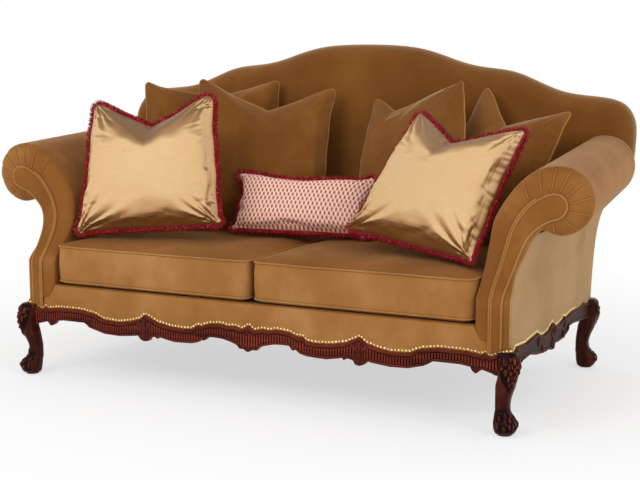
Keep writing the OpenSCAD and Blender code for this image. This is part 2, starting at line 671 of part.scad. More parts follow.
// Rows of inset in units of the corner radius, height share of the box, crown share
seat_share = [[2, 0, 0], [0.5, 0, 0], [0.07, 0.05, 0], [0.01, 0.2, 0], [-0.06, 0.5, 0],
    [-0.05, 0.8, 0], [0, 1, 0], [0.5, 1, 0.42], [1.3, 1, 0.8], [2.6, 1, 1], [4, 1, 1]];
seat_loops = [for (r = seat_share)
    let (z = cushion_z + seat_thick * r[1] + seat_crown * r[2])
    [for (p = seat_plan(r[0] * seat_corner_r, z)) [p[0], p[1], z]]];
module seat_cushion(left) {
    n = len(seat_loops[0]);
    color(velvet) centred() mirrored(left) loft(seat_loops, true, whole_cap(n), whole_cap(n));
}
module seat_welt(z, up) {
    loop = seat_plan(-welt_out, z);
    hoop([for (i = [0 : len(loop) - 1]) let (p = loop[i], n = -loop_normal(loop, i))
        [for (a = [0 : 60 : 300]) let (out = seat_welt_r * cos(a))
            [p[0] + n[0] * out, p[1] + n[1] * out, z + up * welt_out + seat_welt_r * sin(a)]]],
        true);
}
module cushion_welts(left) {
    color(velvet) centred() mirrored(left) {
        seat_welt(seat_h, 0.8);
        seat_welt(cushion_z + seat_thick * 0.12, 0.3);
    }
}
// Height of the seat at an x, as far as it can be under a cushion that rests there
function seat_top(x) = let (edge = min(abs(x) - seat_left_x, seat_right_x - abs(x)))
    seat_h + seat_crown * table([[0, 0.42], [0.5, 0.42], [1.3, 0.8], [2.6, 1], [4, 1]],
        max(edge, 0) / seat_corner_r);

// Scatter cushion in its own frame: x to the right, z up, y into its thickness
pillow_cells = 12;
pillow_edge = 3;
// Share that each side is drawn in between its corners, less at the foot, under the weight
side_bow = 0.05;
foot_bow = 0.004;
function pillow_xz(w, h, pinch, dent, u, v) = [
    w / 2 * u * (1 - side_bow * (1 - v * v)) * (1 - pinch * pow((1 + v) / 2, 2)),
    h / 2 * v * (1 - (v < 0 ? foot_bow : side_bow) * (1 - u * u))
        - dent * exp(-pow(u / 0.32, 2)) * pow((1 + v) / 2, 3)];
function pillow_half(t, u, v) = pillow_edge
    + (t / 2 - pillow_edge) * pow(max(0, (1 - u * u) * (1 - v * v)), 0.55);
function cell(i) = sin(90 * (2 * i / pillow_cells - 1));
function rim(w, h, pinch, dent) = flat([for (side = [0 : 3])
    [for (i = [0 : pillow_cells - 1])
        let (s = cell(i))
        let (uv = [[s, -1], [1, s], [-s, 1], [-1, -s]][side])
        pillow_xz(w, h, pinch, dent, uv[0], uv[1])]]);
module pillow(w, h, t, pinch, dent) {
    n = pillow_cells + 1;
    sheet = [for (j = [0 : pillow_cells]) for (i = [0 : pillow_cells]) [cell(i), cell(j)]];
    function side(s) = [for (c = sheet)
        let (p = pillow_xz(w, h, pinch, dent, c[0], c[1]))
        [p[0], s * pillow_half(t, c[0], c[1]), p[1]]];
    edge = flat([[for (i = [0 : pillow_cells - 1]) i],
        [for (i = [0 : pillow_cells - 1]) i * n + pillow_cells],
        [for (i = [0 : pillow_cells - 1]) n * n - 1 - i],
        [for (i = [0 : pillow_cells - 1]) (pillow_cells - i) * n]]);
    grid = [for (j = [0 : pillow_cells - 1]) for (i = [0 : pillow_cells - 1])
        let (a = j * n + i, b = a + 1, c = b + n, d = a + n) each [[a, b, c], [a, c, d]]];
    m = len(edge);
    polyhedron(concat(side(-1), side(1)), concat(
        [for (f = grid) reversed(f)], [for (f = grid) [for (v = f) v + n * n]],
        [for (i = [0 : m - 1]) let (a = edge[i], b = edge[(i + 1) % m])
            each [[a, b, b + n * n], [a, b + n * n, a + n * n]]]));
}
module fringe(w, h, pinch, dent) {
    line = rim(w, h, pinch, dent);
    near = loop_offset(line, -gap);
    far = loop_offset(line, -fringe_w);
    hoop([for (i = [0 : len(line) - 1])
        [[near[i][0], -fringe_t / 2, near[i][1]], [far[i][0], -fringe_t / 2, far[i][1]],
        [far[i][0], fringe_t / 2, far[i][1]], [near[i][0], fringe_t / 2, near[i][1]]]], true);
}

// Each cushion: width, height, thickness, pinch, dent, whether it has a fringe, the
// x and y of its middle as shares of half the body's width and of its depth, and its
// turn, lean and roll in degrees
left_front_dent = 30;
left_rear_dent = 20;
right_front_dent = 40;
right_rear_dent = 50;
silk_dent = 42;
lumbar_dent = 4;
left_front = [left_velvet_side, left_velvet_side, front_velvet_t, 0.02, left_front_dent, false,
    [-0.329, 0.66], [22, 22.5, -4.5]];
left_rear = [left_velvet_side, left_velvet_side, rear_velvet_t, 0.02, left_rear_dent, false,
    [-0.587, 0.7075], [25.5, 16, 0.5]];
right_front = [right_velvet_foot, right_velvet_side, right_velvet_t, 0.23, right_front_dent, false,
    [0.345, 0.686], [-22, 21, 13.5]];
right_rear = [right_rear_foot, right_velvet_side, rear_velvet_t, 0.06, right_rear_dent, false,
    [0.684, 0.722], [-21, 25.5, -11]];
left_silk = [silk_foot, silk_side, silk_t, 0.13, silk_dent, true, [-0.583, 0.248], [10, 20, 5.2]];
right_silk = [silk_foot, silk_side, silk_t, 0.13, silk_dent, true, [0.606, 0.335], [-16.5, 34, -6]];
lumbar = [lumbar_w, lumbar_h, lumbar_t, 0, lumbar_dent, true, [-0.04, 0.4948], [9, 30, -0.5]];

// Where a point of a turned, leaned and rolled cushion comes to lie
function rolled(p, a) = [p[0] * cos(a) - p[2] * sin(a), p[1], p[0] * sin(a) + p[2] * cos(a)];
function leaned(p, a) = [p[0], p[1] * cos(a) + p[2] * sin(a), p[2] * cos(a) - p[1] * sin(a)];
function yawed(p, a) = [p[0] * cos(a) - p[1] * sin(a), p[0] * sin(a) + p[1] * cos(a), p[2]];
function posed(p, turns) = yawed(leaned(rolled(p, turns[2]), turns[1]), turns[0]);
// Points of a cushion that can touch the seat: its seam, both faces and a line from foot to foot
function low_points(c) =
    let (hang = c[5] ? fringe_w : 0, depth = (c[5] ? fringe_t : 2 * pillow_edge) / 2)
    let (line = loop_offset(rim(c[0], c[1], c[3], c[4]), -hang))
    let (feet = [for (i = [0 : pillow_cells])
        line[0] + (line[pillow_cells] - line[0]) * i / pillow_cells])
    concat([for (p = concat(line, feet)) for (side = [-depth, depth]) [p[0], side, p[1]]],
        [for (j = [0 : pillow_cells]) for (i = [0 : pillow_cells]) for (side = [-1, 1])
            let (u = cell(i), v = cell(j), p = pillow_xz(c[0], c[1], c[3], c[4], u, v))
            [p[0], side * pillow_half(c[2], u, v), p[1]]]);
// Height of a cushion's middle that sets its lowest point just above the seat
rest_gap = 0.4;
function rest_z(c) = rest_gap + max([for (p = low_points(c))
    let (q = posed(p, c[7])) seat_top(c[6][0] * half_w + q[0]) - q[2]]);
module placed(c) {
    centred() translate([c[6][0] * half_w, front_y + c[6][1] * body_d, rest_z(c)])
        rotate([0, 0, c[7][0]]) rotate([-c[7][1], 0, 0]) rotate([0, -c[7][2], 0]) children();
}
module scatter(c, colour) {
    color(colour) placed(c) pillow(c[0], c[1], c[2], c[3], c[4]);
}
module brush(c) {
    color(crimson) placed(c) fringe(c[0], c[1], c[3], c[4]);
}

// The middle of the whole depth, from the knees to the back
front_extent = min([for (r = leg_rings) corner_front_y + r[1] * leg_block_r - r[2]]);
rear_extent = max(max([for (r = back_rings) for (p = r) p[1]]),
    gap + panel_t + max([for (p = back_ring(0.8, 1)) p[1]]));
middle_y = (front_extent + rear_extent) / 2;

front_rail();
back_rail();
side_rail(true);  // left_side_rail
side_rail(false);  // right_side_rail
corner_blocks();
leg_bolts();
leg(0);  // front_left_leg
leg(1);  // front_right_leg
leg(2);  // rear_left_leg
leg(3);  // rear_right_leg
foot_glides();
front_apron();
side_apron(true);  // left_side_apron
side_apron(false);  // right_side_apron
dust_cover();
seat_webbing();
seat_deck();
front_border();
front_nails();
side_nails(true);  // left_nails
side_nails(false);  // right_nails
arm_posts(true);  // left_arm_posts
arm_posts(false);  // right_arm_posts
arm_rail(true);  // left_arm_rail
arm_rail(false);  // right_arm_rail
arm(true);  // left_arm
arm(false);  // right_arm
arm_facing(true);  // left_arm_facing
arm_facing(false);  // right_arm_facing
arm_welt(true);  // left_arm_welt
arm_welt(false);  // right_arm_welt
outside_arm(true);  // left_outside_arm
outside_arm(false);  // right_outside_arm
back_post(true);  // left_back_post
back_post(false);  // right_back_post
back_top_rail();
back_cross_rail();
back_upholstery();
outside_back();
seat_cushion(true);  // left_seat_cushion
seat_cushion(false);  // right_seat_cushion
cushion_welts(true);  // left_cushion_welts
cushion_welts(false);  // right_cushion_welts
scatter(left_front, velvet);  // left_front_velvet_pillow
scatter(left_rear, velvet_shade);  // left_rear_velvet_pillow
scatter(right_front, velvet);  // right_front_velvet_pillow
scatter(right_rear, velvet_shade);  // right_rear_velvet_pillow
scatter(left_silk, silk);  // left_silk_pillow
scatter(right_silk, silk);  // right_silk_pillow
scatter(lumbar, lumbar_red);  // lumbar_pillow
brush(left_silk);  // left_silk_fringe
brush(right_silk);  // right_silk_fringe
brush(lumbar);  // lumbar_fringe
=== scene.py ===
"""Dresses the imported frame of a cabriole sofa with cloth, carving, piping, nails and fringe.

Outlines are worked out in millimetres, with y from the line of the front feet to the back,
and moved into the frame in metres when a piece is made.
"""
import math
import random

import bmesh
import bpy
import numpy as np
from mathutils import Matrix, Vector, noise


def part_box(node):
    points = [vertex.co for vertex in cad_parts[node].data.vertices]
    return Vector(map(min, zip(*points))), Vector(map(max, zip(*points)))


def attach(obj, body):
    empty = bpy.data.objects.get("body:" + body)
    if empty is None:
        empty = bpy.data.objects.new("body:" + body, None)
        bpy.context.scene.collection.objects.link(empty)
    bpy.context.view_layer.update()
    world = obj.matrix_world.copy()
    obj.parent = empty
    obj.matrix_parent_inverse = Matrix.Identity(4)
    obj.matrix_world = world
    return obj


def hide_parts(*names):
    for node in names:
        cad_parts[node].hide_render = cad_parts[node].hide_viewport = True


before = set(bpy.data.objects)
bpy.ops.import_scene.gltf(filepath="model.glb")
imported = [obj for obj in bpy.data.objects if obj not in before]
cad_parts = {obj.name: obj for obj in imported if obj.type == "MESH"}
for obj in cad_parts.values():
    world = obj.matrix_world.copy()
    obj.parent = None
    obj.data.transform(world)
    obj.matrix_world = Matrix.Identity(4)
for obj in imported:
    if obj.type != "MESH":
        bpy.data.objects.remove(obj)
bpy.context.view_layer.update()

MM = 0.001
FRONT_Y = 16.0
HALF_W = 904.0
ARM_IN_X = 790.0
ARM_W = HALF_W - ARM_IN_X
WOOD_Y = 8.0
RAIL_Y = 30.0
RAIL_TOP = 264.0
REAR_Y = 980.0
INSIDE_SLOPE = 0.158
OUTSIDE_SLOPE = 0.13
BACK_Z = 270.3
BACK_T = 174.0
BACK_H = 1178.0
ARM_Z = 270.3
ARM_H = 550.0
DECK_Z = 334.0
SEAT_H = 470.0
MIDDLE_Y = FRONT_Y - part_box("front_border")[0][1] / MM


def inside_y(z):
    return REAR_Y - BACK_T + INSIDE_SLOPE * (z - BACK_Z)


def outside_y(z):
    return REAR_Y + OUTSIDE_SLOPE * (z - BACK_Z)


def ramp(v, lo, hi):
    return np.clip((v - lo) / (hi - lo), 0.0, 1.0)


def smooth(v, lo, hi):
    s = ramp(v, lo, hi)
    return s * s * (3 - 2 * s)


def mix(a, b, s):
    return a + (b - a) * s


# Materials

WHITE = (1, 1, 1)
# Size of one repeat of the woven lattice, in metres
LATTICE_W = 0.0164
LATTICE_H = 0.032


def new_material(name, color, roughness, metallic=0.0):
    mat = bpy.data.materials.new(name)
    mat.use_nodes = True
    bsdf = mat.node_tree.nodes["Principled BSDF"]
    bsdf.inputs["Base Color"].default_value = (*color, 1)
    bsdf.inputs["Roughness"].default_value = roughness
    bsdf.inputs["Metallic"].default_value = metallic
    return mat, bsdf


def linear(r, g, b):
    """A colour given in 0 to 255, as the shader's linear values."""
    def channel(v):
        v /= 255
        return v / 12.92 if v <= 0.04045 else ((v + 0.055) / 1.055) ** 2.4
    return tuple(channel(v) for v in (r, g, b))


def add(mat, kind, **values):
    node = mat.node_tree.nodes.new(kind)
    for key, value in values.items():
        if key in node.inputs:
            node.inputs[key].default_value = value
        else:
            setattr(node, key, value)
    return node


def link(mat, source, target):
    mat.node_tree.links.new(source, target)


def times(mat, first, second):
    """Two colours multiplied."""
    blend = add(mat, "ShaderNodeMixRGB", blend_type="MULTIPLY", Fac=1.0)
    link(mat, first, blend.inputs["Color1"])
    link(mat, second, blend.inputs["Color2"])
    return blend.outputs["Color"]


def split(mat, kind, axis):
    """One axis of a set of coordinates."""
    parts = add(mat, "ShaderNodeSeparateXYZ")
    link(mat, coords(mat, kind), parts.inputs[0])
    return parts.outputs[axis]


def surface(shader, **values):
    """Sets a shader node's own sockets, named with _ for each space."""
    for key, value in values.items():
        shader.inputs[key.replace("_", " ")].default_value = value


def coords(mat, kind="Object"):
    return add(mat, "ShaderNodeTexCoord").outputs[kind]


def noise_node(mat, source, scale, detail=3.0, roughness=0.5, stretch=None):
    if stretch:
        mapping = add(mat, "ShaderNodeMapping")
        mapping.inputs["Scale"].default_value = stretch
        link(mat, source, mapping.inputs["Vector"])
        source = mapping.outputs["Vector"]
    node = add(mat, "ShaderNodeTexNoise", Scale=scale, Detail=detail, Roughness=roughness)
    link(mat, source, node.inputs["Vector"])
    return node.outputs["Fac"]


def ramp_node(mat, source, stops):
    node = add(mat, "ShaderNodeValToRGB")
    band = node.color_ramp
    while len(band.elements) < len(stops):
        band.elements.new(0.5)
    for element, (place, color) in zip(band.elements, stops):
        element.position = place
        element.color = (*color, 1)
    link(mat, source, node.inputs["Fac"])
    return node.outputs["Color"]


def bump_node(mat, bsdf, height, strength, distance, below=None):
    node = add(mat, "ShaderNodeBump", Strength=strength, Distance=distance)
    link(mat, height, node.inputs["Height"])
    if below:
        link(mat, below, node.inputs["Normal"])
    link(mat, node.outputs["Normal"], bsdf.inputs["Normal"])
    return node.outputs["Normal"]


def velvet_material(name, shade, middle, light, sheen=0.6, top_shade=(0.62, 0.55, 0.42)):
    """Short-pile velvet: pile that leans a little either way, a fine nap and a sheen.

    Faces that point up are painted darker than upright ones, as painted shade."""
    shade, middle, light = (linear(*c) for c in (shade, middle, light))
    mat, bsdf = new_material(name, middle, 0.8)
    place = coords(mat)
    brushed = noise_node(mat, place, 4.0, 5.0, 0.6, (1.0, 1.0, 0.7))
    color = ramp_node(mat, brushed, [(0.25, shade), (0.5, middle), (0.75, light)])
    # Painted shade: tops are darkened towards the top_shade colour as the normal turns up
    flat = ramp_node(mat, split(mat, "Normal", "Z"), [(0.35, WHITE), (0.9, top_shade)])
    link(mat, times(mat, color, flat), bsdf.inputs["Base Color"])
    nap = noise_node(mat, place, 900.0, 2.0)
    soft = noise_node(mat, place, 22.0, 3.0)
    first = bump_node(mat, bsdf, soft, 0.1, 0.004)
    bump_node(mat, bsdf, nap, 0.25, 0.0006, first)
    surface(bsdf, Sheen_Weight=sheen, Sheen_Roughness=0.4, Specular_IOR_Level=0.15,
            Sheen_Tint=(*linear(240, 205, 160), 1))
    return mat


def silk_material(name, tilt):
    """Gold silk: fine slubs across, small creases and a broad satin gloss.

    The colour is brightest where the surface faces as its middle does, at the given rise of the normal,
    and is darkened there as painted shade and painted satin reflection: dark amber where it turns down
    and grey brown where it turns up."""
    mat, bsdf = new_material(name, linear(212, 176, 126), 0.45)
    place = coords(mat, "UV")
    slub = noise_node(mat, place, 90.0, 3.0, 0.6, (0.25, 6.0, 1.0))
    color = ramp_node(mat, slub, [(0.3, linear(208, 168, 116)), (0.7, linear(222, 184, 132))])
    # Painted shade and painted satin reflection, set by how far the normal rises
    height = add(mat, "ShaderNodeMapRange", **{"From Min": tilt - 0.5, "From Max": tilt + 0.5})
    link(mat, split(mat, "Normal", "Z"), height.inputs["Value"])
    painted_satin_shade = ramp_node(mat, height.outputs["Result"], [
        (0.06, (0.27, 0.16, 0.06)), (0.16, (0.56, 0.41, 0.22)), (0.33, WHITE), (0.6, WHITE),
        (0.7, (0.5, 0.4, 0.29)), (0.9, (0.27, 0.2, 0.13))])
    link(mat, times(mat, color, painted_satin_shade), bsdf.inputs["Base Color"])
    crease = noise_node(mat, place, 9.0, 5.0, 0.55)
    first = bump_node(mat, bsdf, crease, 0.25, 0.006)
    bump_node(mat, bsdf, slub, 0.12, 0.0005, first)
    surface(bsdf, Sheen_Weight=0.15, Sheen_Roughness=0.3, Specular_IOR_Level=0.4)
    return mat


def math_node(mat, kind, *values):
    node = add(mat, "ShaderNodeMath", operation=kind)
    for slot, value in enumerate(values):
        if isinstance(value, float):
            node.inputs[slot].default_value = value
        else:
            link(mat, value, node.inputs[slot])
    return node.outputs[0]


def lattice_material():
    """Woven silk with rows of small pointed ovals in dusty red on a cream ground."""
    mat, bsdf = new_material("lumbar_weave", linear(205, 150, 130), 0.5)
    # The UV map is in metres over the cloth: waves across and up cross into a lattice
    across = math_node(mat, "MULTIPLY", split(mat, "UV", "X"), 2 * math.pi / LATTICE_W)
    upwards = math_node(mat, "MULTIPLY", split(mat, "UV", "Y"), 2 * math.pi / LATTICE_H)
    waves = [math_node(mat, "COSINE", turn) for turn in (across, upwards)]
    ogee = math_node(mat, "MULTIPLY", *waves)
    figure = math_node(mat, "ADD", math_node(mat, "MULTIPLY", ogee, 0.5), 0.5)
    color = ramp_node(mat, figure, [
        (0.42, linear(250, 206, 182)), (0.56, linear(226, 168, 146)),
        (0.68, linear(176, 96, 82)), (0.95, linear(146, 64, 56))])
    link(mat, color, bsdf.inputs["Base Color"])
    thread = noise_node(mat, coords(mat, "UV"), 700.0, 2.0, 0.6, (1.0, 0.3, 1.0))
    first = bump_node(mat, bsdf, figure, 0.3, 0.0012)
    bump_node(mat, bsdf, thread, 0.3, 0.0006, first)
    surface(bsdf, Sheen_Weight=0.3)
    return mat


def speckled(name, base, roughness, grain, stops, bump, metallic=0.0):
    """A material whose colour and bump both follow one noise."""
    mat, bsdf = new_material(name, linear(*base), roughness, metallic)
    spots = noise_node(mat, coords(mat), *grain)
    color = ramp_node(mat, spots, [(at, linear(*shade)) for at, shade in stops])
    link(mat, color, bsdf.inputs["Base Color"])
    bump_node(mat, bsdf, spots, *bump)
    return mat, bsdf


def fringe_material():
    """Crimson brush fringe: each thread has its own tone from dark red to crimson, and the pink ones are
    painted highlights.
    """
    # The pink stop is painted highlight; the reds are the threads' own tones
    shades = [(0.36, (80, 2, 8)), (0.47, (138, 8, 20)), (0.57, (170, 26, 36)), (0.66, (226, 112, 118))]
    mat, bsdf = speckled("crimson_fringe", (130, 20, 35), 0.55, (130.0, 5.0, 0.75), shades, (0.5, 0.001))
    surface(bsdf, Sheen_Weight=0.15, Sheen_Tint=(*linear(230, 100, 105), 1), Specular_IOR_Level=0.2)
    return mat


def wood_material(name, along, dark, middle, light, roughness=0.3, coat=0.02):
    """Polished wood: long grain, fine pores, painted highlights on raised carving and painted shade in
    hollows.
    """
    dark, middle, light = (linear(*c) for c in (dark, middle, light))
    mat, bsdf = new_material(name, middle, roughness)
    place = coords(mat)
    stretch = [14.0, 14.0, 14.0]
    stretch[along] = 1.2
    grain = noise_node(mat, place, 4.0, 6.0, 0.6, tuple(stretch))
    color = ramp_node(mat, grain, [(0.3, dark), (0.52, middle), (0.75, light)])
    # Painted light: convex edges are painted pale as highlights and concave ones dark as shade
    edge = add(mat, "ShaderNodeNewGeometry").outputs["Pointiness"]
    painted_edge_light = ramp_node(mat, edge, [(0.44, (0.12, 0.1, 0.1)), (0.5, WHITE), (0.57, (2.6, 2.3, 2.1))])
    # Painted shade lies dark in the hollows of the carving and painted highlights lie pale on its
    # heights
    carving_light_source = add(mat, "ShaderNodeAttribute", attribute_name="carving")
    painted_relief_light = ramp_node(mat, carving_light_source.outputs["Fac"], [
        (0.0, WHITE), (0.45, (0.1, 0.08, 0.08)), (0.6, (0.95, 0.85, 0.8)), (1.0, (1.6, 1.85, 1.8))])
    link(mat, times(mat, times(mat, color, painted_edge_light), painted_relief_light), bsdf.inputs["Base Color"])
    pores = noise_node(mat, place, 60.0, 3.0, 0.6, tuple(stretch))
    bump_node(mat, bsdf, pores, 0.08, 0.0006)
    surface(bsdf, Specular_IOR_Level=0.06, Coat_Weight=coat, Coat_Roughness=0.12)
    return mat


def brass_material(name):
    shades = [(0.3, (196, 164, 92)), (0.7, (240, 220, 156))]
    return speckled(name, (226, 200, 128), 0.28, (120.0, 2.0), shades, (0.1, 0.0004), 1.0)[0]


def plain_cloth(name, dark, light, scale):
    shades = [(0.35, dark), (0.65, light)]
    return speckled(name, light, 0.9, (scale, 2.0, 0.6), shades, (0.4, 0.0008))[0]


VELVET = velvet_material("velvet", (118, 69, 24), (137, 85, 33), (162, 112, 58), 0.5, (0.8, 0.74, 0.62))
# Painted light: a lighter copy of the velvet for the seat cushions and front border
LIT_SEAT_VELVET = velvet_material("lit_seat_velvet", (138, 88, 38), (158, 107, 55), (180, 132, 80), 0.15,
                              (0.66, 0.55, 0.36))
# Painted shade: a darker copy of the velvet for the back, inside and out
SHADED_BACK_VELVET = velvet_material("shaded_back_velvet", (108, 62, 17), (119, 72, 22), (132, 84, 32), 0.7,
                              (0.95, 0.95, 0.95))
# Painted light: a paler copy of the velvet for the outside arms, for the light from the side
LIT_OUTSIDE_VELVET = velvet_material("lit_outside_velvet", (154, 118, 76), (168, 133, 90), (180, 146, 102))
PIPING = velvet_material("velvet_piping", (146, 98, 48), (164, 114, 60), (182, 132, 76), 0.3,
                         (0.85, 0.8, 0.7))
# Painted shade: a darker copy of the velvet for the scatter cushions
SHADED_PILLOW_VELVET = velvet_material("cushion_velvet", (106, 60, 16), (122, 74, 24), (146, 97, 44), 0.9,
                         (0.9, 0.86, 0.78))
# The two silks differ only in the normal rise at which their painted shade is lightest
LEFT_SILK = silk_material("left_gold_silk", 0.34)
RIGHT_SILK = silk_material("right_gold_silk", 0.56)
LATTICE = lattice_material()
FRINGE = fringe_material()
RAIL_WOOD = wood_material("mahogany_rail", 0, (48, 14, 8), (74, 25, 15), (98, 38, 24))
SIDE_WOOD = wood_material("mahogany_side", 1, (38, 14, 10), (58, 25, 18), (80, 38, 28), 0.45, 0.0)
LEG_WOOD = wood_material("mahogany_leg", 2, (38, 10, 4), (60, 20, 9), (90, 36, 18))
BEECH = wood_material("beech", 0, (180, 140, 96), (205, 168, 122), (222, 190, 148), 0.6, 0.0)
BRASS = brass_material("brass")
STEEL = brass_material("steel")
DUST = plain_cloth("dust_cloth", (14, 14, 15), (30, 30, 32), 700.0)
# Painted shade: the deck cloth is made dark so the gap under the seat cushions reads as shadow
SHADED_DECK = plain_cloth("shaded_deck_cloth", (44, 28, 16), (62, 42, 26), 500.0)
WEBBING = plain_cloth("webbing", (120, 96, 60), (176, 150, 108), 400.0)
GLIDE = plain_cloth("glide", (24, 22, 20), (44, 40, 36), 90.0)


# Making pieces


def to_frame(points):
    points = np.asarray(points, float).reshape(-1, 3)
    return (points - [0.0, MIDDLE_Y, 0.0]) * MM


def finish_piece(obj, material, slot, body="sofa", replaces=()):
    obj.data.materials.append(material)
    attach(obj, body)
    if replaces:
        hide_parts(*replaces)
    return obj


def placed(name, data):
    obj = bpy.data.objects.new(name, data)
    bpy.context.scene.collection.objects.link(obj)
    return obj


def mesh_object(name, points, faces, uvs=None, closed=True):
    mesh = bpy.data.meshes.new(name)
    mesh.from_pydata([tuple(p) for p in points], [], [tuple(f) for f in faces])
    if uvs is not None:
        layer = mesh.uv_layers.new(name="cloth")
        for loop in mesh.loops:
            layer.data[loop.index].uv = tuple(uvs[loop.vertex_index])
    if closed:
        bm = bmesh.new()
        bm.from_mesh(mesh)
        bmesh.ops.recalc_face_normals(bm, faces=bm.faces)
        bm.to_mesh(mesh)
        bm.free()
    for polygon in mesh.polygons:
        polygon.use_smooth = True
    return placed(name, mesh)


def grid_faces(rows, cols, closed=False, start=0):
    """Faces between rings of points, and from the last ring to the first if closed."""
    faces = []
    for r in range(rows if closed else rows - 1):
        below = start + r * cols
        above = start + (r + 1) % rows * cols
        for c in range(cols):
            d = (c + 1) % cols
            faces.append((below + c, below + d, above + d, above + c))
    return faces


def skin(name, rows, material, slot, replaces, body="sofa"):
    """A closed surface through rings of points in millimetres, in place of a node of the frame."""
    rows = np.asarray(rows, float)
    count, cols = rows.shape[:2]
    ends = [tuple(range(cols)), tuple(range((count - 1) * cols, count * cols))]
    obj = mesh_object(name, to_frame(rows), grid_faces(count, cols) + ends)
    return finish_piece(obj, material, slot, body, [replaces])


def tube_mesh(path, radius, sides=8, closed=False, start=0):
    """Points and faces of a round cord along a path in millimetres."""
    path = np.asarray(path, float)
    count = len(path)
    if closed:
        ahead = np.roll(path, -1, 0) - np.roll(path, 1, 0)
    else:
        ahead = np.gradient(path, axis=0)
    ahead /= np.linalg.norm(ahead, axis=1)[:, None]
    side = np.cross(ahead[0], [0.0, 0.0, 1.0])
    if np.linalg.norm(side) < 0.1:
        side = np.cross(ahead[0], [0.0, 1.0, 0.0])
    points = []
    for i in range(count):
        side = side - ahead[i] * np.dot(side, ahead[i])
        side /= np.linalg.norm(side)
        up = np.cross(ahead[i], side)
        for k in range(sides):
            a = 2 * math.pi * k / sides
            points.append(path[i] + radius * (math.cos(a) * side + math.sin(a) * up))
    faces = grid_faces(count, sides, closed, start)
    if not closed:
        faces.append(tuple(start + k for k in range(sides)))
        faces.append(tuple(start + (count - 1) * sides + k for k in range(sides)))
    return points, faces


def cords(name, paths, radius, material, slot, body="sofa", closed=False, replaces=(), sides=8):
    """One piece of several cords along paths in millimetres, with one radius or one for each."""
    points, faces = [], []
    for path, r in zip(paths, np.broadcast_to(radius, len(paths))):
        more, ends = tube_mesh(path, r, sides, closed, len(points))
        points += more
        faces += ends
    obj = mesh_object(name, to_frame(points), faces)
    return finish_piece(obj, material, slot, body, replaces)


def dense(columns, per=6):
    """Catmull-Rom between a line's own points, so that lines with as many points keep matching."""
    columns = np.asarray(columns, float)
    padded = np.vstack([2 * columns[0] - columns[1], columns, 2 * columns[-1] - columns[-2]])
    line = []
    for i in range(1, len(padded) - 2):
        p0, p1, p2, p3 = padded[i - 1:i + 3]
        for t in np.linspace(0, 1, per, endpoint=False):
            line.append(0.5 * (2 * p1 + (p2 - p0) * t + (2 * p0 - 5 * p1 + 4 * p2 - p3) * t * t
                               + (3 * p1 - p0 - 3 * p2 + p3) * t ** 3))
    line.append(columns[-1])
    return np.array(line)


def spaced(line, count):
    steps = np.linalg.norm(np.diff(line, axis=0), axis=1)
    runs = np.concatenate([[0], np.cumsum(steps)])
    at = np.linspace(0, runs[-1], count)
    return np.stack([np.interp(at, runs, line[:, k]) for k in range(line.shape[1])], 1)


def wave(points, scale, amount, seed=0.0):
    """Soft noise in millimetres for an array of points in millimetres."""
    flat = np.asarray(points, float).reshape(-1, 3)
    values = [noise.noise(Vector(p / scale) + Vector((seed, seed, seed))) for p in flat]
    return amount * np.array(values).reshape(np.asarray(points).shape[:-1])


# Apron outlines: shares of the half length and of the rise

APRON_HALF = 867.7
SIDE_START = 52.3
SIDE_END = 939.7
SIDE_BOARD = 22.0
BOARD_ROWS = 44
REED_PITCH = 10.0
BEAD = 4.5
APRON_LOW_Z = 165.0
APRON_RISE = 93.0
APRON_TOP_SHARES = [
    (0, 1), (0.026, 0.82), (0.061, 0.91), (0.089, 0.87), (0.118, 0.94), (0.173, 0.9),
    (0.214, 0.76), (0.228, 0.81), (0.25, 0.63), (0.289, 0.6), (0.35, 0.63), (0.411, 0.74),
    (0.451, 0.92), (0.469, 0.99), (0.491, 0.8), (0.543, 0.66), (0.595, 0.59), (0.666, 0.63),
    (0.694, 0.75), (0.715, 0.82), (0.78, 0.91), (0.881, 0.9), (0.926, 0.85), (0.938, 0.81),
    (0.951, 0.91), (0.971, 0.78), (1, 0.9), (1.045, 0.97)]
APRON_LOW_SHARES = [
    (0, 0.04), (0.021, 0.13), (0.037, 0.13), (0.048, 0.25), (0.075, 0.34), (0.112, 0.42),
    (0.149, 0.44), (0.177, 0.43), (0.186, 0.34), (0.195, 0.28), (0.205, 0.32), (0.223, 0.19),
    (0.25, 0.13), (0.286, 0.11), (0.332, 0.1), (0.376, 0.17), (0.399, 0.22), (0.406, 0.15),
    (0.42, 0.22), (0.443, 0.16), (0.451, 0.03), (0.469, 0), (0.487, 0.06), (0.5, 0.19),
    (0.527, 0.15), (0.589, 0.09), (0.66, 0.11), (0.719, 0.25), (0.733, 0.31), (0.76, 0.46),
    (0.85, 0.47), (0.9, 0.4), (0.906, 0.29), (0.922, 0.2), (0.935, 0.3), (0.943, 0.35),
    (0.971, 0.28), (1, 0.2)]
SIDE_TOP_SHARES = [
    (0, 0.91), (0.026, 1.04), (0.135, 0.96), (0.227, 1.01), (0.288, 1.04), (0.324, 0.86),
    (0.365, 0.82), (0.423, 0.86), (0.458, 0.99), (0.487, 1.04), (0.511, 0.85), (0.556, 0.82),
    (0.617, 0.9), (0.638, 1), (0.662, 0.9), (0.742, 0.97), (0.855, 0.96), (0.923, 1.03),
    (0.967, 0.91), (1, 0.91)]
SIDE_LOW_SHARES = [
    (0, 0.32), (0.058, 0.33), (0.069, 0.46), (0.18, 0.49), (0.261, 0.32), (0.316, 0.25),
    (0.387, 0.18), (0.408, 0.22), (0.46, 0.09), (0.488, 0.13), (0.503, 0.27), (0.54, 0.22),
    (0.609, 0.22), (0.654, 0.29), (0.684, 0.35), (0.692, 0.51), (0.763, 0.51), (0.829, 0.44),
    (0.93, 0.36), (1, 0.3)]


def edge_z(shares, at):
    places, heights = zip(*shares)
    return APRON_LOW_Z + APRON_RISE * np.interp(at, places, heights)


